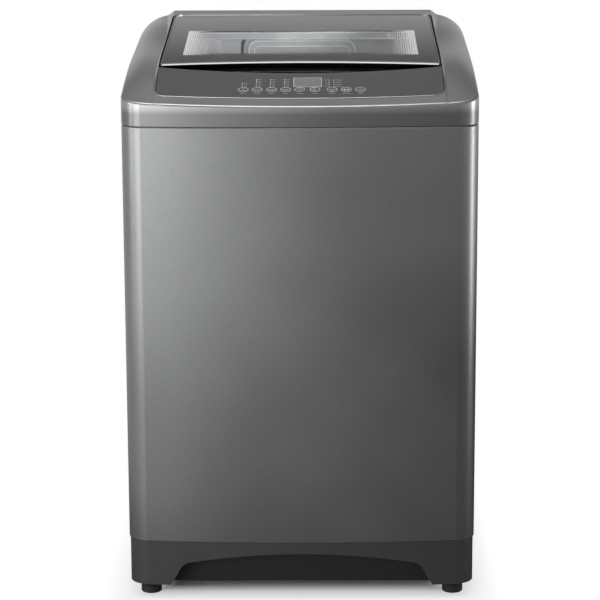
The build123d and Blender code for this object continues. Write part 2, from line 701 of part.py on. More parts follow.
def display_window():
    """The clear cover of the display, flush with the panel."""
    wide, deep = DISPLAY_SIZE
    window = on_plane(PANEL, display_outline(), -FASCIA - CARRIER - 0.5, -0.2)
    top = window.faces().sort_by(Axis((0, 0, 0), PANEL.z_dir))[-1]
    return fillet(top.edges(), 0.5)


def key(index):
    """One push key: a cap with a dished middle, a flange below the panel and a stem to its switch."""
    cap = Pos(0, 0, (KEY_PROUD - FASCIA - 1) / 2) * Cylinder(KEY_R, FASCIA + 1 + KEY_PROUD)
    cap = fillet(cap.edges().group_by(Axis.Z)[-1], 0.7)
    dish = Pos(0, 0, KEY_PROUD + KEY_DISH_R - 0.6) * Sphere(KEY_DISH_R)
    cap -= dish
    flange_top = -FASCIA - KEY_REST_GAP
    flange = Pos(0, 0, flange_top - KEY_FLANGE / 2) * Cylinder(KEY_FLANGE_R, KEY_FLANGE)
    stem_end = -BOARD_DROP + SWITCH_HEIGHT + KEY_TRAVEL + KEY_REST_GAP
    stem = Pos(0, 0, (stem_end - FASCIA) / 2) * Cylinder(KEY_STEM_R, -FASCIA - stem_end)
    x, v = key_places()[index]
    return PANEL * (Pos(x, v, 0) * (cap + flange + stem))


# Lid


def lid_outline(inset=0.0, front_inset=0.0):
    """The lid in its own plane: straight sides, a front edge hollowed towards the hand recess."""
    front = inset + front_inset
    edges = [
        ThreePointArc((-LID_X + inset, front), (0, front + LID_FRONT_BOW), (LID_X - inset, front)),
        Line((LID_X - inset, front), (LID_X - inset, LID_REAR - inset)),
        Line((LID_X - inset, LID_REAR - inset), (-LID_X + inset, LID_REAR - inset)),
        Line((-LID_X + inset, LID_REAR - inset), (-LID_X + inset, front)),
    ]
    face = rounded(make_face(edges), LID_FRONT_R, lambda v: v.Y < LID_REAR / 2)
    return rounded(face, max(LID_CORNER_R - inset, 1.5), lambda v: v.Y > LID_REAR / 2)


def window_outline(grow=0.0):
    """The see-through window in the lid's own plane."""
    deep = WINDOW_REAR - WINDOW_FRONT
    outline = RectangleRounded(2 * (WINDOW_X + grow), deep + 2 * grow, WINDOW_R + grow)
    return Pos(0, (WINDOW_FRONT + WINDOW_REAR) / 2) * outline


def hinge_axis():
    """The hinge line in the lid's own plane: distance back, and depth."""
    return LID_REAR - HINGE_R, -HINGE_R


def lid_body(low, high, inset=0.0):
    """A layer of the lid, thinned and rounded at the back so that it can swing up."""
    layer = Pos(0, 0, low) * extrude(lid_outline(inset), high - low)
    axis_v, axis_w = hinge_axis()
    back = bar(-LID_X - 1, LID_X + 1, axis_v - LID_REAR_THIN, LID_REAR + 1, -LID_THICK - 1, -LID_REAR_THICK)
    edge = bar(-LID_X - 1, LID_X + 1, axis_v, LID_REAR + 1, -LID_THICK - 1, 1)
    edge -= Pos(0, axis_v, axis_w) * Rot(0, 90, 0) * Cylinder(HINGE_R - inset, 2 * LID_X + 4)
    layer = layer - back - edge
    for side in (-1, 1):
        inner, outer = HINGE_EAR_X[0] - 2 - inset, LID_X + 1
        layer -= bar(min(side * inner, side * outer), max(side * inner, side * outer),
                     LID_REAR - HINGE_NOTCH, LID_REAR + 1, -LID_THICK - 1, 1)
    return layer


def lid_frame():
    """The dark lid moulding: a shelf for the glass, an outer wall and a wall round the window."""
    frame = lid_body(-LID_THICK + LID_INNER, 0)
    hollow = lid_body(-LID_THICK - 1, -GLASS - LID_WALL, LID_WALL)
    hollow -= Pos(0, 0, -LID_THICK - 2) * extrude(window_outline(LID_WALL), LID_THICK + 4)
    axis_v, axis_w = hinge_axis()
    spine = bar(-LID_X, LID_X, axis_v - LID_REAR_THIN - LID_WALL, LID_REAR, -LID_THICK, 0)
    frame -= hollow - spine
    glass_seat = Pos(0, 0, -GLASS) * extrude(glass_outline(-FIT_GAP), GLASS + 1)
    frame -= glass_seat
    frame -= Pos(0, 0, -LID_THICK - 1) * extrude(window_outline(), LID_THICK + 2)
    frame -= trim_form(FIT_GAP)
    for side in (-1, 1):
        frame -= Pos(side * (HINGE_EAR_X[0] - 10), axis_v, axis_w) * Rot(0, 90, 0) * Cylinder(HINGE_PIN_R, 24)
    return LID * frame


def glass_outline(inset=0.0):
    """The glass plate in the lid's own plane."""
    front = GLASS_FRONT_MARGIN + inset
    half = LID_X - GLASS_MARGIN - inset
    rear = LID_REAR - GLASS_REAR_MARGIN - inset
    edges = [
        ThreePointArc((-half, front), (0, front + LID_FRONT_BOW), (half, front)),
        Line((half, front), (half, rear)),
        Line((half, rear), (-half, rear)),
        Line((-half, rear), (-half, front)),
    ]
    return rounded(make_face(edges), LID_CORNER_R - 1 - inset)


def lid_glass():
    """The glass plate over the whole lid."""
    plate = Pos(0, 0, -GLASS) * extrude(glass_outline(), GLASS)
    plate = chamfer(plate.faces().sort_by(Axis.Z)[-1].edges(), 0.6)
    return LID * plate


def trim_form(grow=0.0):
    """The bright strip along the lid's front edge."""
    edges = []
    inner = GLASS_FRONT_MARGIN - 2 + grow
    half = LID_X - LID_FRONT_R - 1 + grow
    edges.append(ThreePointArc((-half, -5), (0, LID_FRONT_BOW - 5), (half, -5)))
    edges.append(Line((half, -5), (half, inner)))
    edges.append(ThreePointArc((half, inner), (0, inner + LID_FRONT_BOW), (-half, inner)))
    edges.append(Line((-half, inner), (-half, -5)))
    strip = Pos(0, 0, -TRIM_DROP - grow) * extrude(make_face(edges), TRIM_DROP + grow + 1)
    return strip


def lid_trim():
    """The bright strip that covers the lid's front edge, with a bevelled nose."""
    strip = trim_form() & (Pos(0, 0, -LID_THICK) * extrude(lid_outline(), LID_THICK))
    nose = [e for e in strip.edges() if abs((e @ 0.5).Y - LID_FRONT_BOW) < 0.6 and e.length > 300]
    return LID * chamfer(nose, TRIM_NOSE)


def lid_inner():
    """The underside of the lid: a flat cover with a rim round the window and the latch tongue."""
    low, high = -LID_THICK, -LID_THICK + LID_INNER
    face = lid_outline()
    cover = Pos(0, 0, low) * extrude(face, high - low)
    axis_v, axis_w = hinge_axis()
    cover -= bar(-LID_X - 1, LID_X + 1, axis_v - LID_REAR_THIN, LID_REAR + 1, low - 1, 0)
    cover = cover - Pos(0, 0, low - 1) * extrude(window_outline(), 10)
    x0, x1 = LATCH_X
    cover += bar(x0, x1, LATCH_V - 2, LATCH_V + 2, low - LATCH_DROP, low + 1)
    cover += bar(x0, x1, LATCH_V - 2, LATCH_V + 4, low - LATCH_DROP, low - LATCH_DROP + 3)
    return LID * cover


def hinge_pins():
    """Two steel pins pressed into the lid that turn in the ears of the well."""
    axis_v, axis_w = hinge_axis()
    start, end = HINGE_EAR_X[0] - 22, HINGE_EAR_X[1] + 1
    pins = []
    for side in (-1, 1):
        pin = Cylinder(HINGE_PIN_R, end - start)
        pins.append(LID * (Pos(side * (start + end) / 2, axis_v, axis_w) * Rot(0, 90, 0) * pin))
    return pins


def lid_bumpers():
    """Soft stops below the lid that rest on the ledge of the well."""
    stops = []
    for x in (-BUMPER_X, BUMPER_X):
        for v in BUMPER_V:
            stop = Pos(x, v, -LID_THICK - LEDGE_GAP / 2) * Cylinder(LID_BUMPER_R, LEDGE_GAP)
            stop = fillet(stop.edges().group_by(Axis.Z)[0], 1.0)
            stops.append(LID * stop)
    return stops


# Well below the lid, drawer and services


def well_top(grow=0.0, depth=0.0):
    """The well's upper outline on a layer below the lid."""
    deep = WELL_REAR - WELL_FRONT + 2 * grow
    face = RectangleRounded(2 * (WELL_X + grow), deep, WELL_TOP_R + grow)
    return LID * (Pos(0, (WELL_FRONT + WELL_REAR) / 2, depth) * face)


def well_floor(grow=0.0, z=WELL_FLOOR_Z):
    """The well's lower outline."""
    front, rear = WELL_FLOOR_RUN
    face = RectangleRounded(2 * (WELL_FLOOR_X + grow), rear - front + 2 * grow, WELL_FLOOR_R + grow)
    return Pos(0, FRONT + (front + rear) / 2, z) * face


def ledge_outline(gap=0.0):
    """The ledge round the well in the lid's own plane."""
    lean = (LID_THICK + LEDGE_GAP + LEDGE) * math.tan(math.radians(LID_TILT))
    rear = (OPENING_REAR_RUN - LID_RUN) / math.cos(math.radians(LID_TILT)) - lean - gap
    front = TRAY_REAR - lean + 3 * gap
    half = OPENING_X - gap
    face = Pos(0, (front + rear) / 2) * Rectangle(2 * half, rear - front)
    return rounded(face, OPENING_CORNER_R - gap, lambda v: v.Y > 100)


def well_frame():
    """The pale moulding below the lid: a ledge, a tapered well, a floor with a round mouth and hinge ears."""
    ledge_top = -LID_THICK - LEDGE_GAP
    ledge_low = ledge_top - LEDGE
    body = LID * (Pos(0, 0, ledge_low) * extrude(ledge_outline(FIT_GAP), LEDGE))
    outer = loft([well_floor(WELL_WALL, WELL_FLOOR_Z - WELL_WALL), well_top(WELL_WALL, ledge_top)])
    body += outer
    inner = loft([well_floor(), well_top(0, ledge_top + 0.01)])
    body -= inner
    body += ring(MOUTH_R + WELL_WALL, MOUTH_R - 1, WELL_FLOOR_Z - MOUTH_LIP, WELL_FLOOR_Z - 0.5)
    body -= rod(MOUTH_R, WELL_FLOOR_Z - 40, WELL_FLOOR_Z + 1)
    rim = [e for e in body.edges().filter_by(GeomType.CIRCLE) if abs(e.radius - MOUTH_R) < 0.01]
    body = fillet([e for e in rim if e.center().Z > WELL_FLOOR_Z - 1], 1.8)
    x0, x1 = LATCH_X
    slot = bar(x0 - 2, x1 + 2, LATCH_V - 5, LATCH_V + 8, ledge_low - 1, ledge_top + 1)
    body -= LID * slot
    axis_v, axis_w = hinge_axis()
    for side in (-1, 1):
        near, far = sorted((side * HINGE_EAR_X[0], side * HINGE_EAR_X[1]))
        ear = bar(near, far, axis_v - HINGE_R, axis_v + HINGE_R, ledge_low + 1, axis_w)
        middle = (near + far) / 2
        ear += Pos(middle, axis_v, axis_w) * Rot(0, 90, 0) * Cylinder(HINGE_R, far - near)
        ear -= Pos(middle, axis_v, axis_w) * Rot(0, 90, 0) * Cylinder(HINGE_PIN_R + HINGE_CLEARANCE, 30)
        body += LID * ear
    low, high = DRAWER_Z
    room = HOUSING_WALL + FIT_GAP
    half = DRAWER_FRONT_X + room
    bezel = FRONT + BEZEL_RUN
    body -= bar(-half, half, bezel - 18, bezel + 62, low - room, high + room)
    return body


def front_shape(half, low, high, radius, y0, y1):
    """An upright plate with rounded upper corners."""
    plate = bar(-half, half, y0, y1, low, high)
    return fillet(plate.edges().filter_by(Axis.Y).group_by(Axis.Z)[-1], radius)


def dispenser_housing():
    """The drawer's housing behind the well: a frame round the drawer front and a box behind it."""
    low, high = DRAWER_Z
    front = FRONT + BEZEL_RUN
    back = FRONT + DRAWER_BACK_RUN + DRAWER_GAP
    wall = HOUSING_WALL
    body = bar(-DRAWER_FRONT_X - wall, DRAWER_FRONT_X + wall, front + 2, back + wall, low - wall, high + wall)
    frame = bar(-DRAWER_FRONT_X - 7, DRAWER_FRONT_X + 7, front, front + 2.5, low - 5, high + 6)
    frame = fillet(frame.edges().filter_by(Axis.Y).group_by(Axis.Z)[-1], DRAWER_FRONT_R + 4)
    body += frame
    gap = DRAWER_GAP
    body -= front_shape(DRAWER_FRONT_X + gap, low - gap, high + gap, DRAWER_FRONT_R, front - 1, front + 9)
    half = DRAWER_WIDTH / 2 + gap
    top = low + DRAWER_HEIGHT + 4
    body -= bar(-half, half, front, back, low - gap, top)
    for x in NIPPLE_X:
        body -= Pos(x, back, NIPPLE_Z) * Rot(90, 0, 0) * Cylinder(NIPPLE_BORE_R - 2, 20)
    return body


def detergent_drawer():
    """The detergent drawer: a rounded front with a finger scoop, and three compartments."""
    low, high = DRAWER_Z
    front = FRONT + BEZEL_RUN - DRAWER_FRONT / 2
    back = FRONT + DRAWER_BACK_RUN
    wall = DRAWER_WALL
    plate = front_shape(DRAWER_FRONT_X, low, high, DRAWER_FRONT_R - 0.4, front, front + DRAWER_FRONT + 4)
    face = plate.faces().sort_by(Axis.Y)[0]
    plate = fillet(face.edges(), 1.5)
    half = DRAWER_WIDTH / 2
    box = bar(-half, half, front + DRAWER_FRONT, back, low, low + DRAWER_HEIGHT)
    splits = (-half + wall, -half / 3, half / 3 + 10, half - wall)
    inner_front, inner_back = front + DRAWER_FRONT + 4, back - wall
    for left, right in zip(splits[:-1], splits[1:]):
        cell = bar(left + wall / 2, right - wall / 2, inner_front, inner_back, low + wall, high + 1)
        box -= fillet(cell.edges().filter_by(Axis.Z), 5)
    body = plate + box
    scoop = bar(-SCOOP_X, SCOOP_X, front - 1, front + 5.5, low - 1, low + 16)
    scoop = fillet(scoop.edges().filter_by(Axis.Y).group_by(Axis.Z)[-1], 12)
    return body - scoop


def lid_lock():
    """The lid lock below the ledge, with a slot for the latch tongue."""
    low = -LID_THICK - LEDGE_GAP - LEDGE
    x0, x1 = LATCH_X
    body = bar(x0 - 4, x1 + 5, LATCH_V - 26, LATCH_V + 30, low - 24, low)
    body = fillet(body.edges().filter_by(Axis.Z), 2)
    body -= bar(x0 - 2, x1 + 2, LATCH_V - 5, LATCH_V + 8, low - 14, low + 1)
    return LID * body


def inlet_valves():
    """Two water valves: threaded nipples in the rear pocket and bodies that feed the drawer's housing."""
    valves = []
    face = REAR - REAR_RECESS
    for x in NIPPLE_X:
        nipple = Cylinder(NIPPLE_R, NIPPLE_LENGTH)
        nipple = chamfer(nipple.edges().group_by(Axis.Z)[-1], 1.2)
        for z in range(-5, 8, 3):
            groove = Cylinder(NIPPLE_R + 1, 1.2) - Cylinder(NIPPLE_R - 0.9, 3)
            nipple -= Pos(0, 0, z) * groove
        start = FRONT + DRAWER_BACK_RUN + DRAWER_GAP + HOUSING_WALL - face
        body = Pos(0, 0, start / 2 - HOUSING_WALL / 2) * Cylinder(NIPPLE_R + 5, -start - HOUSING_WALL)
        neck = Pos(0, 0, -HOUSING_WALL / 2) * Cylinder(NIPPLE_R, HOUSING_WALL + 0.2)
        valve = Pos(0, 0, NIPPLE_LENGTH / 2) * nipple + body + neck
        valve -= Pos(0, 0, NIPPLE_LENGTH / 2 + 4) * Cylinder(NIPPLE_BORE_R, NIPPLE_LENGTH)
        valve -= Cylinder(NIPPLE_BORE_R - 2, 60)
        valves.append(Pos(x, face, NIPPLE_Z) * Rot(-90, 0, 0) * valve)
    return valves


def cord_gland():
    """The empty gland for the mains lead, a grooved bush in the rear panel."""
    bush = Cylinder(GLAND_R, GLAND_LENGTH)
    bush = fillet(bush.edges().group_by(Axis.Z)[-1], 2)
    flange = Pos(0, 0, SHEET + 1.5 + GLAND_FLANGE_IN) * Cylinder(GLAND_R + 4, 3)
    nut = Pos(0, 0, GLAND_FLANGE_IN - 2) * Cylinder(GLAND_R + 3, 4)
    bore = Cylinder(GLAND_BORE_R, GLAND_LENGTH * 3)
    bush = Pos(0, 0, GLAND_LENGTH / 2 - 4) * bush
    return Pos(GLAND_X, CABINET_REAR, GLAND_Z) * Rot(-90, 0, 0) * (bush + flange + nut - bore)


def drain_spigot():
    """The barbed outlet for the drain hose on the back."""
    pipe = Pos(0, 0, SPIGOT_LENGTH / 2 - 1) * Cylinder(SPIGOT_R, SPIGOT_LENGTH + 2)
    barb = Pos(0, 0, SPIGOT_LENGTH - 3) * Cone(SPIGOT_R + 1.2, SPIGOT_R - 0.5, 6)
    flange = Pos(0, 0, SHEET + 1.5) * Cylinder(SPIGOT_R + 9, 3)
    tail = Pos(0, 0, -10) * Cylinder(SPIGOT_R, 20)
    bore = Cylinder(SPIGOT_BORE_R, SPIGOT_LENGTH * 4)
    return Pos(SPIGOT_X, CABINET_REAR, SPIGOT_Z) * Rot(-90, 0, 0) * (pipe + flange + tail - bore)


# Tub and suspension


def rod_places():
    """Centres of the four hanging rods."""
    return [(sx * ROD_X, sy * ROD_Y) for sx, sy in CORNERS]


def outer_tub():
    """The hung water tub with a hub for the shafts and four lugs for the suspension."""
    tub = rod(TUB_R, TUB_FLOOR_Z, TUB_TOP_Z)
    tub = fillet(tub.edges().group_by(Axis.Z)[0], TUB_CORNER_R)
    tub += ring(TUB_R + TUB_RIM, TUB_R - 1, TUB_TOP_Z - 10, TUB_TOP_Z)
    for z in (TUB_FLOOR_Z + 130, TUB_FLOOR_Z + 300, TUB_FLOOR_Z + 440):
        tub += ring(TUB_R + 3, TUB_R - 1, z, z + 5)
    for x, y in rod_places():
        turn = math.degrees(math.atan2(y, x))
        reach = math.hypot(x, y)
        web = bar(TUB_R - 8, reach, -LUG_R + 6, LUG_R - 6, LUG_Z, LUG_Z + LUG)
        tub += Rot(0, 0, turn) * web
        tub += rod(LUG_R, LUG_Z, LUG_Z + LUG, x, y)
    for x, y in plate_posts():
        tub += rod(PLATE_POST_R, PLATE_Z + PLATE, TUB_FLOOR_Z + 1, x, y)
    hollow = rod(TUB_R - TUB_WALL, TUB_FLOOR_Z + TUB_FLOOR, TUB_TOP_Z + 1)
    tub -= fillet(hollow.edges().group_by(Axis.Z)[0], TUB_CORNER_R - TUB_WALL)
    tub += rod(HUB_R, PLATE_Z + PLATE, HUB_TOP_Z)
    tub -= rod(BEARING_R, PLATE_Z, PLATE_Z + PLATE + BEARING)
    tub -= rod(SEAL_R, HUB_TOP_Z - SEAL, HUB_TOP_Z + 1)
    tub -= rod(SPIN_SHAFT_R + 2, PLATE_Z, HUB_TOP_Z + 1)
    tub -= rod(DRAIN_R, 0, TUB_FLOOR_Z + TUB_FLOOR + 1, *DRAIN_XY)
    for x, y in rod_places():
        tub -= rod(ROD_R + ROD_HOLE_GAP, LUG_Z - 1, LUG_Z + LUG + 1, x, y)
    return tub


def tub_ring():
    """The splash ring on top of the tub."""
    z, top = TUB_TOP_Z, TUB_RING_TOP_Z
    outer = TUB_R + TUB_RIM
    inner = TUB_RING_INNER_R
    wall = TUB_WALL
    points = [
        (outer + wall, z - 8), (outer + wall, z + 6), (outer - 12, top), (inner, top), (inner, top - 14),
        (inner + wall, top - 14), (inner + wall, top - wall), (outer - 13, top - wall), (outer - 4, z + 6),
        (TUB_R - wall, z + 6), (TUB_R - wall, z), (outer + FIT_GAP, z), (outer + FIT_GAP, z - 8),
    ]
    return spun(points)


def plate_posts():
    """Places of the posts between the drive plate and the tub."""
    x0, x1 = PLATE_X
    y = PLATE_WIDTH / 2 - 18
    return [(x, side * y) for x in (x0 + 18, (x0 + x1) / 2, x1 - 18) for side in (-1, 1)]


def base_plate():
    """The steel plate that carries the gearcase and the motor, bolted below the tub."""
    x0, x1 = PLATE_X
    half = PLATE_WIDTH / 2
    plate = bar(x0, x1, -half, half, PLATE_Z, PLATE_Z + PLATE)
    plate = fillet(plate.edges().filter_by(Axis.Z), 24)
    plate -= rod(BEARING_R + FIT_GAP, 0, PLATE_Z + 20)
    for y in (-half, half - 3):
        plate += bar(x0 + 24, x1 - 24, y, y + 3, PLATE_Z - 14, PLATE_Z + 1)
    for x, y in plate_posts():
        plate += Pos(x, y, PLATE_Z - 5) * extrude(RegularPolygon(8, 6), 5)
    return plate


def gearcase():
    """The reduction gear's case, with bores for the shafts above and the input shaft below."""
    low, high = GEARCASE_Z
    case = rod(GEARCASE_R, low + 12, high)
    case = chamfer(case.edges().group_by(Axis.Z)[0], 10)
    case += rod(GEARCASE_R * 0.55, low, low + 20)
    case += ring(GEARCASE_R + 14, GEARCASE_R - 2, high - 8, high)
    for i in range(8):
        fin = bar(GEARCASE_R - 3, GEARCASE_R + 6, -2.5, 2.5, low + 26, high - 4)
        case += Rot(0, 0, 22.5 + i * 45) * fin
    case -= rod(BEARING_R, high - BEARING, high + 1)
    case -= rod(SPIN_SHAFT_R + 2, SPIN_SHAFT_LOW_Z - 2, high + 1)
    case -= rod(WASH_SHAFT_R + 2, WASH_SHAFT_LOW_Z - 2, high)
    case -= rod(WASH_SHAFT_R + SHAFT_CLEARANCE, low - 1, INPUT_TOP_Z + 2)
    return case


def bearings():
    """Two ball bearings that carry the spin shaft."""
    low = PLATE_Z + PLATE
    races = []
    for z in (low, GEARCASE_Z[1] - BEARING):
        race = ring(BEARING_R, SPIN_SHAFT_R + SHAFT_CLEARANCE, z, z + BEARING)
        for end in (z - 1, z + BEARING - 1):
            race -= ring(BEARING_R - 4, SPIN_SHAFT_R + 4, end, end + 2)
        races.append(race)
    return races


def shaft_seal():
    """The lip seal above the upper bearing."""
    outer, inner, top = SEAL_R, SPIN_SHAFT_R + SHAFT_CLEARANCE, HUB_TOP_Z
    low = top - SEAL
    points = [
        (inner, low), (outer, low), (outer, top), (outer - 3, top), (inner + 4, low + 4), (inner, top + 2),
    ]
    return spun(points)


def motor_housing():
    """The motor below the drive plate: ribbed body, end caps and four mounting ears."""
    low, high = MOTOR_Z
    body = rod(MOTOR_R, low + 10, high - 8)
    caps = rod(MOTOR_R - 6, low, high)
    caps = fillet(caps.edges().group_by(Axis.Z)[0], 6)
    body += caps
    for i in range(12):
        rib = bar(MOTOR_R - 2, MOTOR_R + 3, -2, 2, low + 16, high - 14)
        body += Rot(0, 0, i * 30) * rib
    for i in range(4):
        ear = bar(MOTOR_R - 20, MOTOR_R + 10, -9, 9, high - 4, PLATE_Z)
        body += Rot(0, 0, 45 + i * 90) * ear
    body -= rod(MOTOR_SHAFT_R + SHAFT_CLEARANCE, low - 1, high - 20)
    return Pos(MOTOR_OFFSET, 0, 0) * body


def drain_valve():
    """The drain valve below the tub, with its outlet stub and actuator."""
    x, y = DRAIN_XY
    low = TUB_FLOOR_Z - 42
    body = rod(DRAIN_R + 8, low, TUB_FLOOR_Z, x, y)
    body += Pos(x - 40, y, low + 16) * Rot(0, 90, 0) * Cylinder(14, 60)
    body += bar(x - 96, x - 66, y - 16, y + 16, low + 2, low + 34)
    body += Pos(x, y + 40, low + 18) * Rot(90, 0, 0) * Cylinder(SPIGOT_R, 60)
    body -= rod(DRAIN_R - 3, low + 4, TUB_FLOOR_Z + 1, x, y)
    return body - Pos(x, y + 40, low + 18) * Rot(90, 0, 0) * Cylinder(SPIGOT_BORE_R, 64)


def corner_brackets():
    """Four steel brackets in the upper corners of the cabinet that the rods hang from."""
    brackets = []
    wall_x = WIDTH / 2 - SHEET
    for x, y in rod_places():
        side = 1 if x > 0 else -1
        near, far = sorted((side * (ROD_X - 28), side * wall_x))
        plate = bar(near, far, y - 32, y + 32, BRACKET_Z, BRACKET_Z + BRACKET)
        near, far = sorted((side * (wall_x - BRACKET), side * wall_x))
        plate += bar(near, far, y - 32, y + 32, BRACKET_Z - 34, BRACKET_Z + BRACKET)
        for rib_y in (y - 32, y + 32 - BRACKET):
            rib = [(ROD_X + 26, BRACKET_Z), (wall_x, BRACKET_Z), (wall_x, BRACKET_Z - 34)]
            face = Plane.XZ * make_face(Polyline(*[(side * a, b) for a, b in rib], close=True))
            plate += Pos(0, rib_y + BRACKET, 0) * extrude(face, BRACKET)
        plate -= rod(ROD_R + ROD_HOLE_GAP, BRACKET_Z - 50, BRACKET_Z + 20, x, y)
        brackets.append(plate)
    return brackets


def suspension_rods():
    """Four hanging rods with round heads on the brackets and spring seats at the lower end."""
    rods = []
    top = BRACKET_Z + BRACKET
    for x, y in rod_places():
        head = Sphere(ROD_HEAD_R) & bar(-20, 20, -20, 20, 0, 20)
        body = Pos(0, 0, top) * head + rod(ROD_R, ROD_BOTTOM_Z, top + 1)
        body += rod(ROD_CAP_R, ROD_BOTTOM_Z, ROD_BOTTOM_Z + ROD_CAP)
        body += rod(ROD_CAP_R - 14, ROD_BOTTOM_Z - 8, ROD_BOTTOM_Z + 1)
        rods.append(Pos(x, y, 0) * body)
    return rods


def damper_cups():
    """Four cups below the tub's lugs that hold the upper ends of the springs."""
    cups = []
    for x, y in rod_places():
        cup = ring(CUP_R, CUP_R - CUP_WALL, LUG_Z - CUP_HEIGHT, LUG_Z, x, y)
        cup += ring(CUP_R, ROD_R + ROD_HOLE_GAP, LUG_Z - CUP_WALL, LUG_Z, x, y)
        cups.append(cup)
    return cups


def suspension_springs():
    """Four springs between the rods' seats and the tub's cups, as plain sleeves."""
    low, high = ROD_BOTTOM_Z + ROD_CAP, LUG_Z - CUP_WALL
    return [ring(SPRING_R, SPRING_BORE_R, low, high, x, y) for x, y in rod_places()]


# Basket and drive


def wash_basket():
    """The perforated steel drum, plain in this form, with two pressed beads."""
    drum = ring(BASKET_R, BASKET_R - BASKET_SHEET, BASKET_BASE_Z, BASKET_TOP_Z)
    for z in (BASKET_BASE_Z + 120, BASKET_TOP_Z - 90):
        skin, crest = BASKET_R - 0.2, BASKET_R + 2
        drum += spun([(skin, z - 5), (crest, z - 2), (crest, z + 2), (skin, z + 5)])
    return drum


def basket_base():
    """The moulded floor of the basket, with a hub on the spin shaft and drain slots."""
    outer = BASKET_R - BASKET_SHEET
    low, high = BASKET_BASE_Z, BASKET_BASE_Z + BASKET_BASE
    points = [
        (SPIN_SHAFT_R, low - 10), (52, low - 10), (60, low), (outer, low),
        (outer, high + 30), (outer - 4, high + 30), (outer - 12, high + 8),
        (outer - 30, high - 6), (PULSATOR_R - 4, high - 10), (SPIN_SHAFT_R, high - 8),
    ]
    base = spun(points)
    for i in range(12):
        slot = bar(PULSATOR_R + 10, outer - 40, -3, 3, low - 1, high + 20)
        base -= Rot(0, 0, i * 30) * slot
    return base


def balance_ring():
    """The hollow looking balance ring round the basket's mouth."""
    outer = BASKET_R - BASKET_SHEET
    low = BASKET_TOP_Z - BALANCE_HEIGHT + 8
    inner = outer - BALANCE_WIDTH
    top = BASKET_TOP_Z + 8
    body = ring(outer, inner, low, top)
    body = fillet([e for e in body.edges() if abs(e.center().Z - top) < 0.1], 9)
    body = fillet([e for e in body.edges().filter_by(GeomType.CIRCLE) if abs(e.center().Z - low) < 0.1
                   and abs(e.radius - inner) < 0.1], 6)
    return body + ring(BASKET_R + 3, outer - 12, BASKET_TOP_Z, BASKET_TOP_Z + 5)


def lint_filters():
    """Two lint filter boxes on the basket's wall."""
    outer = BASKET_R - BASKET_SHEET - FIT_GAP
    sector = ring(outer, outer - FILTER_DEPTH, FILTER_Z[0], FILTER_Z[1])
    half = FILTER_WIDTH / 2
    boxes = []
    for side in (-1, 1):
        near, far = sorted((side * 150, side * 300))
        box = sector & bar(near, far, -half, half, 0, BASKET_TOP_Z)
        for z in range(int(FILTER_Z[0]) + 14, int(FILTER_Z[1]) - 10, 12):
            near, far = sorted((side * 150, side * (outer - FILTER_DEPTH + 3)))
            box -= bar(near, far, -half + 10, half - 10, z, z + 5)
        boxes.append(box)
    return boxes


def spin_shaft():
    """The hollow shaft that turns the basket."""
    top = BASKET_BASE_Z + BASKET_BASE - 8
    return ring(SPIN_SHAFT_R, WASH_SHAFT_R + SHAFT_CLEARANCE, SPIN_SHAFT_LOW_Z, top)


def wash_shaft():
    """The inner shaft that turns the pulsator."""
    return rod(WASH_SHAFT_R, WASH_SHAFT_LOW_Z, PULSATOR_Z + PULSATOR_SHEET + 2)


def pulsator():
    """The dished pulsator with curved ridges on its upper side."""
    z = PULSATOR_Z
    t = PULSATOR_SHEET
    top = z + PULSATOR_RISE
    points = [
        (WASH_SHAFT_R, z - 6), (26, z - 6), (30, z),
        (PULSATOR_R - 30, z), (PULSATOR_R - 4, z + 4), (PULSATOR_R, z + 8), (PULSATOR_R - 3, z + 8 + t),
        (PULSATOR_R - 30, z + t + 1), (70, z + t + 3), (40, top), (WASH_SHAFT_R, top),
    ]
    disc = spun(points)
    for i in range(PULSATOR_VANES):
        turn = i * 360 / PULSATOR_VANES
        ridge = make_face(
            [
                ThreePointArc((30, -9), (105, -26), (PULSATOR_R - 22, -8)),
                ThreePointArc((PULSATOR_R - 22, -8), (PULSATOR_R - 16, -2), (PULSATOR_R - 22, 4)),
                ThreePointArc((PULSATOR_R - 22, 4), (105, -6), (30, 9)),
                Line((30, 9), (30, -9)),
            ]
        )
        vane = Pos(0, 0, z + 2) * extrude(ridge, VANE_HEIGHT, taper=18)
        disc += Rot(0, 0, turn) * vane
    disc -= rod(WASH_SHAFT_R, 0, z + t + 2)
    disc -= rod(SCREW_CAP_R + FIT_GAP, z + t + 2, z + 80)
    return disc


def pulsator_screw():
    """The cap screw in the middle of the pulsator."""
    z = PULSATOR_Z + PULSATOR_SHEET + 2
    cap = rod(SCREW_CAP_R, z, z + 12)
    cap = fillet(cap.edges().group_by(Axis.Z)[-1], 3)
    return cap - Pos(0, 0, z + 8) * extrude(RegularPolygon(5, 6), 6)


def drive_pulley():
    """The large pulley on the gearcase's input shaft, with spokes and a belt groove."""
    low, high = PULLEY_Z
    mid = (low + high) / 2
    half = BELT_WIDTH / 2
    rim = PULLEY_R
    points = [
        (rim - 20, low), (rim, low), (rim, mid - half),
        (rim - BELT_THICK, mid - half + 2), (rim - BELT_THICK, mid + half - 2),
        (rim, mid + half), (rim, high), (rim - 20, high),
    ]
    wheel = spun(points) + ring(rim - 18, WASH_SHAFT_R, mid - 3, mid + 3)
    wheel += rod(22, low, high)
    for i in range(6):
        wheel -= Rot(0, 0, i * 60) * rod(15, low - 1, high + 1, 47, 0)
    return wheel + rod(WASH_SHAFT_R, low, INPUT_TOP_Z)


def motor_shaft():
    """The motor's shaft."""
    return rod(MOTOR_SHAFT_R, PULLEY_Z[0] - 3, MOTOR_Z[1] - 24, MOTOR_OFFSET, 0)


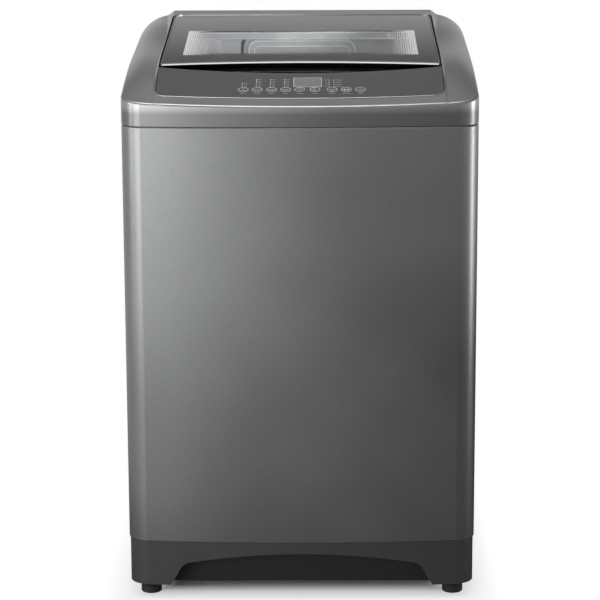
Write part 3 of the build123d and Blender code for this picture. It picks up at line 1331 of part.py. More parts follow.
def motor_pulley():
    """The small pulley on the motor's shaft."""
    low, high = PULLEY_Z
    mid = (low + high) / 2
    half = BELT_WIDTH / 2
    rim = MOTOR_PULLEY_R
    points = [
        (MOTOR_SHAFT_R, low), (rim, low), (rim, mid - half), (rim - BELT_THICK, mid - half + 2),
        (rim - BELT_THICK, mid + half - 2), (rim, mid + half), (rim, high), (MOTOR_SHAFT_R, high),
    ]
    return Pos(MOTOR_OFFSET, 0, 0) * spun(points)


def belt_loop(back, z0, z1):
    """A loop round both pulleys, a given depth below their rims."""
    large, small = PULLEY_R - back, MOTOR_PULLEY_R - back
    lean = math.acos((large - small) / MOTOR_OFFSET)
    up = (math.cos(lean), math.sin(lean))
    points = [
        (large * up[0], large * up[1]), (MOTOR_OFFSET + small * up[0], small * up[1]),
        (MOTOR_OFFSET + small * up[0], -small * up[1]), (large * up[0], -large * up[1]),
    ]
    loop = upright(make_face(Polyline(*points, close=True)), z0, z1)
    return loop + rod(large, z0, z1) + rod(small, z0, z1, MOTOR_OFFSET, 0)


def drive_belt():
    """The drive belt round both pulleys."""
    mid = sum(PULLEY_Z) / 2
    half = BELT_WIDTH / 2 - 2 - BELT_GAP
    outer = belt_loop(0.5, mid - half, mid + half)
    return outer - belt_loop(BELT_THICK - BELT_GAP, mid - half - 1, mid + half + 1)


# Nodes


def rear_feet():
    """The two feet at the back."""
    return [foot(2), foot(3)]


NODES = {
    "cabinet_wrap": cabinet_wrap,
    "rear_panel": rear_panel,
    "panel_screws": panel_screws,
    "base_frame": base_frame,
    "kick_panel": kick_panel,
    "rear_feet": rear_feet,
    "top_cover": top_cover,
    "control_fascia": control_fascia,
    "console_carrier": console_carrier,
    "control_board": control_board,
    "display_window": display_window,
    "lid_frame": lid_frame,
    "lid_inner": lid_inner,
    "lid_glass": lid_glass,
    "lid_trim": lid_trim,
    "hinge_pins": hinge_pins,
    "lid_bumpers": lid_bumpers,
    "well_frame": well_frame,
    "dispenser_housing": dispenser_housing,
    "detergent_drawer": detergent_drawer,
    "lid_lock": lid_lock,
    "inlet_valves": inlet_valves,
    "cord_gland": cord_gland,
    "drain_spigot": drain_spigot,
    "outer_tub": outer_tub,
    "tub_ring": tub_ring,
    "base_plate": base_plate,
    "gearcase": gearcase,
    "bearings": bearings,
    "shaft_seal": shaft_seal,
    "motor_housing": motor_housing,
    "drain_valve": drain_valve,
    "corner_brackets": corner_brackets,
    "suspension_rods": suspension_rods,
    "damper_cups": damper_cups,
    "suspension_springs": suspension_springs,
    "wash_basket": wash_basket,
    "basket_base": basket_base,
    "balance_ring": balance_ring,
    "lint_filters": lint_filters,
    "spin_shaft": spin_shaft,
    "wash_shaft": wash_shaft,
    "pulsator": pulsator,
    "pulsator_screw": pulsator_screw,
    "drive_pulley": drive_pulley,
    "motor_shaft": motor_shaft,
    "motor_pulley": motor_pulley,
    "drive_belt": drive_belt,
}


def build():
    """Every node by name."""
    shapes = {name: make() for name, make in NODES.items()}
    shapes["front_foot_left"] = foot(0)
    shapes["front_foot_right"] = foot(1)
    for index in range(len(KEY_X)):
        shapes[f"key_{index + 1}"] = key(index)
    return shapes


def main():
    """Write one file for each node."""
    os.makedirs("parts", exist_ok=True)
    for name, shape in build().items():
        solid = Compound(children=shape) if isinstance(shape, list) else shape
        export_step(solid, f"parts/{name}.step")


if __name__ == "__main__":
    main()
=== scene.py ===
import math

import bmesh
import bpy
from mathutils import Matrix, Vector

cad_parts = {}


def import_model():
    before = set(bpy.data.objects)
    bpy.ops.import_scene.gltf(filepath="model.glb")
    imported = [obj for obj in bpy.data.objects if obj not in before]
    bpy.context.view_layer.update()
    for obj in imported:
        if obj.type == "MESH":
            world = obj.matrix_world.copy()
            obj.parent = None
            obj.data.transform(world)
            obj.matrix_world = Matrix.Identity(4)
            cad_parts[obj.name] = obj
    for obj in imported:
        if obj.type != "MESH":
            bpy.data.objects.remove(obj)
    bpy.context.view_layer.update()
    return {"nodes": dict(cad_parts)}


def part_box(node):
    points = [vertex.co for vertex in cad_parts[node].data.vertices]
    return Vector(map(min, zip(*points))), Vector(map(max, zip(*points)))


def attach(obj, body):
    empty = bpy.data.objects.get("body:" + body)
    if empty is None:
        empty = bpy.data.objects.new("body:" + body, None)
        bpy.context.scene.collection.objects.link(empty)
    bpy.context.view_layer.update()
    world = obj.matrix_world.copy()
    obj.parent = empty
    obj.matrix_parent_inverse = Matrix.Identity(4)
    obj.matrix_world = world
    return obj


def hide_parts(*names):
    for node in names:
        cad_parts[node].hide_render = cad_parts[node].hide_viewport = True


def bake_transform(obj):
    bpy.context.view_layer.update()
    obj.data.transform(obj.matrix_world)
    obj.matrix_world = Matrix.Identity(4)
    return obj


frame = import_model()
NODES = frame["nodes"]
SCENE = bpy.context.scene
SCENE.view_settings.view_transform = "Standard"


# Objects in the scene


def add(name, data):
    """A new object in the scene."""
    obj = bpy.data.objects.new(name, data)
    SCENE.collection.objects.link(obj)
    return obj


def mesh_object(name, vertices, faces, material, smooth=True):
    """A mesh in the scene: its four-sided faces are smooth, or all of them flat."""
    mesh = bpy.data.meshes.new(name)
    mesh.from_pydata(vertices, [], faces)
    for face in mesh.polygons:
        face.use_smooth = smooth and len(face.vertices) == 4
    mesh.materials.append(material)
    return add(name, mesh)


# Camera at the photograph's viewing angle

PHOTO_SIDE_PX = 600
SENSOR_MM = 36.0
CAMERA_PLACE = (0.044096, -4.643273, 1.542052)
CAMERA_PITCH, CAMERA_YAW, CAMERA_ROLL = 0.21705, -0.010396, -0.004278
CAMERA_FOCAL_PX = 2341.44
CAMERA_REACH = 60.0


def camera():
    """A long lens a little above the lid, nearly square to the front."""
    flat = math.cos(CAMERA_PITCH)
    ahead = Vector((math.sin(CAMERA_YAW) * flat, math.cos(CAMERA_YAW) * flat, -math.sin(CAMERA_PITCH)))
    level = ahead.cross(Vector((0, 0, 1))).normalized()
    over = level.cross(ahead)
    right = level * math.cos(CAMERA_ROLL) + over * math.sin(CAMERA_ROLL)
    up = over * math.cos(CAMERA_ROLL) - level * math.sin(CAMERA_ROLL)
    data = bpy.data.cameras.new("camera")
    data.sensor_width = SENSOR_MM
    data.lens = CAMERA_FOCAL_PX / PHOTO_SIDE_PX * SENSOR_MM
    data.clip_end = CAMERA_REACH
    obj = add("camera", data)
    turn = Matrix((right, up, -ahead)).transposed()
    obj.matrix_world = Matrix.Translation(CAMERA_PLACE) @ turn.to_4x4()
    SCENE.camera = obj


camera()


# Shader helpers

# Most of a noise field lies between these values
NOISE_LOW, NOISE_HIGH = 0.3, 0.7


class Nodes:
    """The nodes of one shader tree."""

    def __init__(self, tree):
        self.tree = tree

    def new(self, kind, **settings):
        """A node of the given kind, with its properties or input values set."""
        node = self.tree.nodes.new(kind)
        for key, value in settings.items():
            if hasattr(node, key):
                setattr(node, key, value)
            else:
                node.inputs[key.replace("_", " ")].default_value = value
        return node

    def link(self, start, end):
        """A link from an output to an input."""
        self.tree.links.new(start, end)

    def position(self, scale=(1, 1, 1)):
        """Object coordinates in metres, stretched by scale."""
        coords = self.new("ShaderNodeTexCoord")
        mapping = self.new("ShaderNodeMapping")
        mapping.inputs["Scale"].default_value = scale
        self.link(coords.outputs["Object"], mapping.inputs["Vector"])
        return mapping.outputs["Vector"]

    def axes(self, vector):
        """The X, Y and Z fields of a vector."""
        parts = self.new("ShaderNodeSeparateXYZ")
        self.link(vector, parts.inputs["Vector"])
        return parts.outputs["X"], parts.outputs["Y"], parts.outputs["Z"]

    def noise(self, scale, detail=3.0, stretch=(1, 1, 1)):
        """A noise field over the object's own metres."""
        node = self.new("ShaderNodeTexNoise", Scale=scale, Detail=detail)
        self.link(self.position(stretch), node.inputs["Vector"])
        return node.outputs["Fac"]

    def ramp(self, field, stops):
        """A colour ramp over a field: (place, colour) stops."""
        node = self.new("ShaderNodeValToRGB")
        elements = node.color_ramp.elements
        while len(elements) < len(stops):
            elements.new(0.5)
        for element, (place, colour) in zip(elements, stops):
            element.position = place
            element.color = (*colour, 1.0)
        self.link(field, node.inputs["Fac"])
        return node.outputs["Color"]

    def span(self, field, low, high, start=0.0, end=1.0, kind="LINEAR"):
        """A field mapped from start and end to low and high."""
        node = self.new("ShaderNodeMapRange", interpolation_type=kind)
        limits = {"From Min": start, "From Max": end, "To Min": low, "To Max": high}
        for key, value in limits.items():
            node.inputs[key].default_value = value
        self.link(field, node.inputs["Value"])
        return node.outputs["Result"]

    def maths(self, kind, first, second=None):
        """One step of arithmetic on fields or numbers."""
        node = self.new("ShaderNodeMath", operation=kind)
        for socket, value in zip(node.inputs, (first, second)):
            if value is None:
                continue
            if isinstance(value, (int, float)):
                socket.default_value = value
            else:
                self.link(value, socket)
        return node.outputs[0]


class Material(Nodes):
    """A material's nodes, with the Principled shader ready and constants on its own sockets."""

    def __init__(self, name, **values):
        self.material = bpy.data.materials.new(name)
        self.material.use_nodes = True
        super().__init__(self.material.node_tree)
        self.shader = self.tree.nodes["Principled BSDF"]
        for key, value in values.items():
            self.shader.inputs[key.replace("_", " ")].default_value = value

    def feed(self, field, socket):
        """A field on one of the shader's sockets."""
        self.link(field, self.shader.inputs[socket])

    def bump(self, field, strength, distance):
        """A bump from a height field, in metres."""
        node = self.new("ShaderNodeBump", Strength=strength, Distance=distance)
        self.link(field, node.inputs["Height"])
        self.feed(node.outputs["Normal"], "Normal")

    def tone(self, colour, spread, field):
        """A base colour that varies a little over a field."""
        low = [max(0.0, c * (1 - spread)) for c in colour]
        high = [min(1.0, c * (1 + spread)) for c in colour]
        self.feed(self.ramp(field, [(NOISE_LOW, low), (NOISE_HIGH, high)]), "Base Color")

    def shade(self, factor):
        """The base colour multiplied by a field."""
        colour = self.shader.inputs["Base Color"].links[0].from_socket
        node = self.new("ShaderNodeVectorMath", operation="SCALE")
        self.link(colour, node.inputs[0])
        self.link(factor, node.inputs["Scale"])
        self.feed(node.outputs[0], "Base Color")

    def rough(self, low, high, field):
        """A roughness that varies between two values over a field."""
        self.feed(self.span(field, low, high, NOISE_LOW, NOISE_HIGH), "Roughness")


def moulded(name, colour, roughness, grain=900.0, depth=0.00004, spread=0.04, **values):
    """Moulded plastic: a faint mottle, a fine spark grain and an uneven gloss."""
    mat = Material(name, **values)
    mat.tone(colour, spread, mat.noise(14.0, 4.0))
    mat.rough(roughness * 0.85, roughness * 1.2, mat.noise(60.0, 3.0))
    mat.bump(mat.noise(grain, 2.0), 0.25, depth)
    return mat.material


def metal(name, colour, roughness, stretch=(1, 1, 1), grain=400.0, spread=0.06):
    """Bare or plated metal with a directional grain."""
    mat = Material(name, Metallic=1.0)
    mat.tone(colour, spread, mat.noise(grain, 2.0, stretch))
    mat.rough(roughness * 0.8, roughness * 1.25, mat.noise(grain * 0.5, 2.0, stretch))
    mat.bump(mat.noise(grain, 1.0, stretch), 0.15, 0.00003)
    return mat.material


# Places in the panel's and the lid's own planes, in metres

PANEL_TILT = math.radians(19.5)
PANEL_ORIGIN = (0.0, -0.345, 0.9605)
LID_TILT = math.radians(6.0)
LID_RUN = 0.165
LID_ORIGIN = (0.0, PANEL_ORIGIN[1] + LID_RUN, PANEL_ORIGIN[2] + LID_RUN * math.tan(PANEL_TILT))

# Areas of the lid: half width, front and rear
WINDOW_X, WINDOW_FRONT, WINDOW_REAR = 0.229, 0.083, 0.309
WINDOW_AREA = (WINDOW_X, WINDOW_FRONT, WINDOW_REAR)
REVEAL_AREA = (WINDOW_X + 0.004, WINDOW_FRONT - 0.004, WINDOW_REAR + 0.030)
LINER_AREA = (0.26, 0.03, 0.40)

# Depths below the lid's surface, and how far the lip's painted shade reaches back from the front; the ledge
# above one depth is lightened as painted light
GLASS_FACE = -0.001
SHADED_LIP_BACK, SHADED_LIP_TOP = 0.030, -0.004
LIT_LEDGE_TOP = -0.0052
# The trim's painted highlight: depths over which its colour turns from dark below to bright at its top edge
TRIM_HIGHLIGHT_EDGE = (-0.0032, -0.0012)

# Printed dots of the glass: their pitch, and how far they fade in from the window's front and sides; the
# pale dots at the sides are also a painted highlight of the well's corners
DOT_PITCH = 0.0046
DOT_FADE_FRONT, HIGHLIGHT_FADE_SIDE = 0.022, 0.062
HIGHLIGHT_DOT_MOST = 0.85
DOT_LIMIT = 1.05

# Height at which the top cover's skirt meets its slope; below it the skirt is darkened as painted shade
SKIRT_SHADE_EDGE = (0.944, 0.957)


# Materials of the CAD nodes


def titanium_paint(name, colour, roughness, flake, skirt_painted_shade=1.0):
    """Metallic paint: fine flakes, a slow change of tone, a clear coat, and painted shade that darkens the
    skirt.
    """
    mat = Material(name, Metallic=0.92, Coat_Weight=0.15, Coat_Roughness=0.25)
    sparkle = mat.noise(flake, 1.0)
    slow = mat.noise(3.0, 2.0)
    blend = mat.new("ShaderNodeMix", data_type="FLOAT")
    blend.inputs[0].default_value = 0.4
    mat.link(sparkle, blend.inputs[2])
    mat.link(slow, blend.inputs[3])
    mat.tone(colour, 0.16, blend.outputs[0])
    # Painted shade: the skirt below the slope gets a darker base colour
    if skirt_painted_shade != 1.0:
        height = mat.axes(mat.position())[2]
        mat.shade(mat.span(height, skirt_painted_shade, 1.0, *SKIRT_SHADE_EDGE))
    mat.rough(roughness * 0.92, roughness * 1.1, slow)
    mat.bump(sparkle, 0.12, 0.00003)
    return mat.material


def lid_coordinates(mat):
    """The lid's own plane: across, back from the front edge, and depth, in metres."""
    coords = mat.new("ShaderNodeTexCoord")
    move = mat.new("ShaderNodeVectorMath", operation="SUBTRACT")
    move.inputs[1].default_value = LID_ORIGIN
    turn = mat.new("ShaderNodeVectorRotate", rotation_type="X_AXIS")
    turn.inputs["Angle"].default_value = -LID_TILT
    mat.link(coords.outputs["Object"], move.inputs[0])
    mat.link(move.outputs[0], turn.inputs["Vector"])
    return mat.axes(turn.outputs["Vector"])


def lid_area(mat, across, back, area):
    """One inside an area of the lid's plane, and nought outside it."""
    half, front, rear = area
    inside = mat.maths("LESS_THAN", mat.maths("ABSOLUTE", across), half)
    inside = mat.maths("MULTIPLY", inside, mat.maths("GREATER_THAN", back, front))
    return mat.maths("MULTIPLY", inside, mat.maths("LESS_THAN", back, rear))


def lid_glass_material():
    """Glass with a dark print on its back, clear in the window, with dots round the window's edge; the pale
    dots at its ends are a painted highlight.
    """
    mat = Material("tinted_glass", Specular_IOR_Level=0.5, Coat_Weight=0.0)
    across, back, depth = lid_coordinates(mat)
    clear = lid_area(mat, across, back, WINDOW_AREA)
    wave_x = mat.maths("COSINE", mat.maths("MULTIPLY", across, 2 * math.pi / DOT_PITCH))
    wave_v = mat.maths("COSINE", mat.maths("MULTIPLY", back, 2 * math.pi / DOT_PITCH))
    grid = mat.span(mat.maths("ADD", wave_x, wave_v), 0.0, 1.0, -2.0, 2.0)
    front = mat.span(back, 1.0, 0.0, WINDOW_FRONT, WINDOW_FRONT + DOT_FADE_FRONT)
    dark_dots = mat.maths("GREATER_THAN", mat.maths("ADD", grid, front), DOT_LIMIT)
    # Pale dots thickening towards the window's ends: print, and a painted highlight of the well's bright
    # corners behind
    ends = mat.span(mat.maths("ABSOLUTE", across), 0.0, HIGHLIGHT_DOT_MOST, WINDOW_X - HIGHLIGHT_FADE_SIDE, WINDOW_X)
    pale_dots_highlight = mat.maths("GREATER_THAN", mat.maths("ADD", grid, ends), DOT_LIMIT)
    pale_dots_highlight = mat.maths("MULTIPLY", pale_dots_highlight, clear)
    bare = mat.maths("SUBTRACT", 1.0, mat.maths("MAXIMUM", dark_dots, pale_dots_highlight))
    bare = mat.maths("MULTIPLY", clear, bare)
    upper = mat.maths("GREATER_THAN", depth, GLASS_FACE)
    printed = mat.maths("MULTIPLY", mat.maths("SUBTRACT", 1.0, bare), upper)
    fresnel = mat.new("ShaderNodeFresnel", IOR=1.5)
    thin = mat.span(fresnel.outputs[0], 0.0, 0.12)
    mat.feed(mat.maths("MAXIMUM", thin, printed), "Alpha")
    # The pale colour of those dots is the painted highlight; the rest is the dark print
    mat.feed(mat.ramp(pale_dots_highlight, [(0.0, (0.020, 0.020, 0.021)), (1.0, (0.82, 0.82, 0.82))]), "Base Color")
    mat.rough(0.035, 0.055, mat.noise(30.0, 3.0))
    return mat.material


def lid_plastic(name, colour, other, roughness, area):
    """Gloss plastic of the lid: another tone in one area of its plane, painted shade on the lip in front,
    and painted light on the ledge near its surface in that area.
    """
    mat = Material(name, Coat_Weight=0.1, Coat_Roughness=0.1)
    across, back, depth = lid_coordinates(mat)
    inside = lid_area(mat, across, back, area)
    mottle = mat.noise(14.0, 4.0)
    mat.feed(mat.ramp(inside, [(0.0, colour), (1.0, other)]), "Base Color")
    # Painted shade: the lid's front lip, down in the hand recess, is darkened and its gloss lowered
    painted_lip_shade = mat.maths("LESS_THAN", back, SHADED_LIP_BACK)
    painted_lip_shade = mat.maths("MULTIPLY", painted_lip_shade, mat.maths("LESS_THAN", depth, SHADED_LIP_TOP))
    # Painted light: the ledge under the glass, which the lamps barely reach, is lightened
    ledge = mat.maths("MULTIPLY", inside, mat.maths("GREATER_THAN", depth, LIT_LEDGE_TOP))
    shade = mat.maths("MULTIPLY", mat.span(painted_lip_shade, 1.0, 0.12), mat.span(ledge, 1.0, 2.1))
    mat.shade(mat.maths("MULTIPLY", mat.span(mottle, 0.96, 1.04), shade))
    mat.feed(mat.span(painted_lip_shade, 0.5, 0.1), "Specular IOR Level")
    mat.rough(roughness * 0.85, roughness * 1.2, mottle)
    mat.bump(mat.noise(2000.0, 2.0), 0.25, 0.00001)
    return mat.material


def trim_metal():
    """Plated trim, with a painted highlight along its top edge and painted shade below it."""
    mat = Material("trim_painted_highlight", Metallic=1.0)
    depth = lid_coordinates(mat)[2]
    grain = mat.noise(300.0, 2.0, (1, 30, 30))
    uneven = mat.maths("ADD", depth, mat.maths("MULTIPLY", grain, 0.0004))
    # Painted highlight: bright base colour near the top edge, darker below it
    edge = mat.span(uneven, 0.0, 1.0, *TRIM_HIGHLIGHT_EDGE)
    mat.feed(mat.ramp(edge, [(0.0, (0.015, 0.015, 0.016)), (1.0, (0.13, 0.13, 0.133))]), "Base Color")
    mat.rough(0.18, 0.26, grain)
    return mat.material


def display_material():
    """A dark grey display behind a clear cover."""
    mat = Material("display", Coat_Weight=0.6, Coat_Roughness=0.05)
    field = mat.noise(90.0, 2.0)
    mat.tone((0.145, 0.153, 0.164), 0.05, field)
    mat.rough(0.18, 0.26, field)
    return mat.material


GREY_PANEL = (0.042, 0.0425, 0.044)
BLACK_GLOSS = (0.004, 0.004, 0.0045)
LID_DARK = (0.050, 0.051, 0.054)
LINER_PALE = (0.50, 0.51, 0.52)
REVEAL = (0.36, 0.37, 0.38)
MATERIALS = {
    "paint": titanium_paint("titanium_paint", (0.195, 0.199, 0.198), 0.38, 560.0),
    # The cover's skirt is darkened to about half as painted shade
    "cover": titanium_paint("silver_cover", (0.28, 0.28, 0.28), 0.36, 1800.0, 0.52),
    "galvanised": metal("galvanised", (0.55, 0.56, 0.57), 0.46, (1, 1, 1), 260.0, 0.07),
    "zinc": metal("zinc_plate", (0.62, 0.60, 0.55), 0.35),
    "base": moulded("base_plastic", (0.031, 0.031, 0.033), 0.48, 1400.0, 0.00012),
    "kick": moulded("kick_plastic", (0.006, 0.006, 0.0065), 0.55, 1400.0, 0.00012),
    "rubber": moulded("foot_rubber", (0.014, 0.014, 0.014), 0.70, 700.0, 0.00010),
    "fascia": moulded(
        "panel_gloss", GREY_PANEL, 0.22, 2000.0, 0.00001, 0.03, Coat_Weight=0.5, Coat_Roughness=0.06
    ),
    "carrier": moulded("black_gloss", BLACK_GLOSS, 0.16, 2000.0, 0.00001, 0.05, Specular_IOR_Level=0.15),
    "board": moulded("board_green", (0.02, 0.10, 0.045), 0.40),
    "display": display_material(),
    "key": moulded("key_satin", GREY_PANEL, 0.30, 2000.0, 0.00001, 0.03),
    "lid": lid_plastic("lid_gloss", LID_DARK, REVEAL, 0.20, REVEAL_AREA),
    "liner": lid_plastic("lid_liner", LID_DARK, LINER_PALE, 0.24, LINER_AREA),
    "glass": lid_glass_material(),
    "trim": trim_metal(),
    "steel": metal("ground_steel", (0.60, 0.60, 0.60), 0.28, (30, 30, 1), 200.0),
    "stop": moulded("stop_rubber", (0.12, 0.12, 0.12), 0.65),
    "well": moulded("well_gloss", (0.50, 0.51, 0.52), 0.22, 1500.0, 0.00002, 0.03, Coat_Weight=0.3),
    "drawer": moulded("drawer_gloss", (0.54, 0.55, 0.56), 0.24, 1500.0, 0.00002, 0.03, Coat_Weight=0.3),
    # A bright metal line: a painted highlight along the key panel's rim
    "edge": metal("edge_metal", (0.42, 0.42, 0.425), 0.34, (1, 30, 30), 300.0),
    # Pale beads: a painted highlight of the drawer's outline
    "bead": moulded("bead_painted_highlight", (0.86, 0.87, 0.88), 0.20, 1500.0, 0.00002, 0.03, Coat_Weight=0.5),
    "dark": moulded("dark_plastic", (0.05, 0.05, 0.055), 0.45),
    "valve": moulded("valve_plastic", (0.62, 0.62, 0.60), 0.40),
    "tub": moulded("tub_plastic", (0.50, 0.52, 0.54), 0.42),
    "cast": metal("cast_alloy", (0.48, 0.48, 0.49), 0.50, (1, 1, 1), 500.0, 0.10),
    "motor": moulded("motor_paint", (0.06, 0.065, 0.075), 0.38, Metallic=0.3),
    "seal": moulded("black_rubber", (0.015, 0.015, 0.015), 0.60),
    "basket": metal("basket_steel", (0.66, 0.66, 0.66), 0.26, (1, 1, 14), 260.0, 0.05),
    "tub_white": moulded("basket_plastic", (0.56, 0.58, 0.61), 0.26, Coat_Weight=0.3),
    "filter": moulded("filter_plastic", (0.40, 0.45, 0.53), 0.30),
}
KEY_NAMES = tuple(f"key_{number}" for number in range(1, 10))
FINISHES = {
    "paint": ("cabinet_wrap",),
    "cover": ("top_cover",),
    "galvanised": ("rear_panel",),
    "zinc": ("panel_screws", "corner_brackets", "suspension_rods", "base_plate"),
    "base": ("base_frame",),
    "kick": ("kick_panel",),
    "rubber": ("rear_feet", "front_foot_left", "front_foot_right"),
    "fascia": ("control_fascia",),
    "carrier": ("console_carrier",),
    "board": ("control_board",),
    "display": ("display_window",),
    "key": KEY_NAMES,
    "lid": ("lid_frame",),
    "liner": ("lid_inner",),
    "glass": ("lid_glass",),
    "trim": ("lid_trim",),
    "steel": ("hinge_pins", "spin_shaft", "wash_shaft", "motor_shaft", "bearings", "suspension_springs"),
    "stop": ("lid_bumpers",),
    "well": ("well_frame", "dispenser_housing"),
    "drawer": ("detergent_drawer",),
    "dark": ("lid_lock", "cord_gland", "drain_valve", "drain_spigot"),
    "valve": ("inlet_valves",),
    "tub": ("outer_tub", "tub_ring", "damper_cups"),
    "cast": ("gearcase", "drive_pulley", "motor_pulley"),
    "motor": ("motor_housing",),
    "seal": ("shaft_seal", "drive_belt"),
    "basket": ("wash_basket",),
    "tub_white": ("basket_base", "balance_ring", "pulsator", "pulsator_screw"),
    "filter": ("lint_filters",),
}
for finish_name, node_names in FINISHES.items():
    for node_name in node_names:
        slots = NODES[node_name].data.materials
        slots.clear()
        slots.append(MATERIALS[finish_name])


# Printed signs on the panel and the keys, in millimetres

STROKE_STEP = 1.5
PRINT_LIFT = 0.05

KEY_X = (-106.0, -79.5, -53.0, -26.5, 0.0, 28.5, 60.5, 87.0, 113.5)
KEY_RUN = 63.0
KEY_SIGNS = ("hanger", "tub1", "tub2", "tub3", "clock", "moon", "spin", "play", "power")
KEY_DISH_R = 48.0
KEY_PROUD = 0.6
KEY_RING_R, KEY_RING_STROKE = 9.1, 0.9
SIGN_STROKE = 0.65

# Lamps behind the first four keys, then two columns right of the display: place, and reach of the marks
LAMP_R = 1.1
LAMP_ROWS = (75.0, 82.0, 89.0, 96.0, 103.0)
LAMP_COUNTS = (3, 5, 5, 5)
LAMP_SHIFT = -2.0
MARK_SPAN = (1.0, 6.5)
MARK_STROKE = 0.9
COLUMN_ROWS = (76.0, 84.3, 92.6, 100.9)
COLUMNS = ((55.0, -9.0), (64.0, 17.0))
COLUMN_MARK_START, COLUMN_MARK_STEP = 2.5, 0.12

# One mark in front of each key, and the display's frame: left, right, front and rear
CAPTION_RUN, CAPTION_STROKE = 49.0, 1.0
CAPTION_HALVES = (5.0, 5.5, 5.5, 5.0, 6.0, 5.5, 6.5, 7.5, 4.5)
DISPLAY = (-11.4, 40.4, 74.2, 109.8)
DISPLAY_STROKE = 0.8


class Sheet:
    """Flat shapes drawn in millimetres, and set on a surface by a function."""

    def __init__(self):
        self.points = []
        self.faces = []

    def polygon(self, corners):
        """One face from its corners."""
        start = len(self.points)
        self.points.extend(corners)
        self.faces.append(tuple(range(start, start + len(corners))))

    def disc(self, x, y, radius, sides=16):
        """A filled circle."""
        angles = [2 * math.pi * i / sides for i in range(sides)]
        self.polygon([(x + radius * math.cos(a), y + radius * math.sin(a)) for a in angles])

    def arc(self, x, y, radius, width, start=0.0, end=360.0, steps=40):
        """A stroke along a circle."""
        inner, outer = radius - width / 2, radius + width / 2
        angles = [math.radians(start + (end - start) * i / steps) for i in range(steps + 1)]
        for a, b in zip(angles[:-1], angles[1:]):
            ring = [(outer, a), (outer, b), (inner, b), (inner, a)]
            self.polygon([(x + r * math.cos(t), y + r * math.sin(t)) for r, t in ring])

    def line(self, points, width):
        """A stroke along straight runs, with round joints."""
        for (x0, y0), (x1, y1) in zip(points[:-1], points[1:]):
            length = math.hypot(x1 - x0, y1 - y0)
            nx, ny = (y0 - y1) / length * width / 2, (x1 - x0) / length * width / 2
            steps = max(1, int(length / STROKE_STEP))
            for i in range(steps):
                a, b = i / steps, (i + 1) / steps
                xa, ya = x0 + (x1 - x0) * a, y0 + (y1 - y0) * a
                xb, yb = x0 + (x1 - x0) * b, y0 + (y1 - y0) * b
                left = [(xa + nx, ya + ny), (xa - nx, ya - ny)]
                right = [(xb - nx, yb - ny), (xb + nx, yb + ny)]
                self.polygon(left + right)
        for x, y in points[1:-1]:
            self.disc(x, y, width / 2, 8)

    def piece(self, name, place, material, body, slot):
        """The shapes as a mesh, with each point set by place(x, y)."""
        obj = mesh_object(name, [place(x, y) for x, y in self.points], self.faces, material, smooth=False)
        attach(obj, body)


def on_panel(x, run, lift):
    """A point on the panel in metres, from millimetres across, back from the front and off the surface."""
    y = PANEL_ORIGIN[1] + run / 1000 - math.sin(PANEL_TILT) * lift / 1000
    z = PANEL_ORIGIN[2] + run / 1000 * math.tan(PANEL_TILT) + math.cos(PANEL_TILT) * lift / 1000
    return (x / 1000, y, z)


def icon(sheet, kind):
    """One generic sign, drawn inside a circle of 5 mm radius."""
    w = SIGN_STROKE
    if kind == "hanger":
        sheet.line([(-4.6, -2.6), (0, 1.2), (4.6, -2.6), (-4.6, -2.6)], w)
        sheet.arc(0.2, 2.6, 1.2, w, -90, 160, 12)
    elif kind.startswith("tub"):
        sheet.line([(-4.6, 2.6), (-3.4, -3.2), (3.4, -3.2), (4.6, 2.6)], w)
        for i in range(int(kind[-1])):
            y = 1.0 - i * 1.7
            sheet.line([(-3.0, y), (-1.5, y + 0.7), (0, y), (1.5, y + 0.7), (3.0, y)], w * 0.8)
    elif kind == "clock":
        sheet.arc(0, 0, 4.2, w, 0, 360, 28)
        sheet.line([(0, 2.6), (0, 0), (1.8, -1.2)], w)
    elif kind == "moon":
        sheet.arc(0, 0, 4.0, w, 60, 300, 20)
        sheet.arc(2.2, 0, 3.5, w, 98, 262, 16)
    elif kind == "spin":
        for turn in (0, 120, 240):
            sheet.arc(0, 0, 2.6 + turn / 160, w, turn, turn + 170, 12)
        sheet.disc(0, 0, 0.8, 10)
    elif kind == "play":
        sheet.polygon([(-4.4, -3.0), (0.2, 0.0), (-4.4, 3.0)])
        for x in (1.6, 3.7):
            sheet.polygon([(x, -3.0), (x + 1.2, -3.0), (x + 1.2, 3.0), (x, 3.0)])
    elif kind == "power":
        sheet.arc(0, 0, 3.8, w * 1.1, 125, 415, 26)
        sheet.line([(0, 4.8), (0, 0.6)], w * 1.1)


def key_height(x, y):
    """Height of a key's dished top above the panel."""
    reach = math.hypot(x, y)
    return min(KEY_PROUD, KEY_DISH_R - math.sqrt(KEY_DISH_R ** 2 - reach ** 2))


def print_ink(name, colour, roughness=0.45):
    """Printed ink of a slightly uneven density."""
    mat = Material(name)
    mat.tone(colour, 0.06, mat.noise(900.0, 2.0))
    mat.rough(roughness * 0.9, roughness * 1.1, mat.noise(300.0, 2.0))
    return mat.material


INK = print_ink("pale_ink", (0.80, 0.80, 0.80))
INK_SIGN = print_ink("sign_ink", (0.66, 0.66, 0.66))
INK_SOFT = print_ink("grey_ink", (0.42, 0.42, 0.425))
INK_WARM = print_ink("warm_ink", (0.88, 0.85, 0.56))
LENS = print_ink("led_lens", (0.85, 0.86, 0.86), 0.25)


def key_prints():
    """A ring and a sign on each key, which move with it."""
    slope = math.cos(PANEL_TILT)
    for index, (x_key, kind) in enumerate(zip(KEY_X, KEY_SIGNS)):
        ring, sign = Sheet(), Sheet()
        ring.arc(0, 0, KEY_RING_R, KEY_RING_STROKE)
        icon(sign, kind)

        def place(x, y, x_key=x_key):
            return on_panel(x_key + x, KEY_RUN + y * slope, key_height(x, y) + PRINT_LIFT)

        ink = INK_WARM if kind == "play" else INK_SIGN
        ring.piece(f"key_ring_{index + 1}", place, INK, f"key_{index + 1}", "key_dark")
        sign.piece(f"key_sign_{index + 1}", place, ink, f"key_{index + 1}", "key_dark")


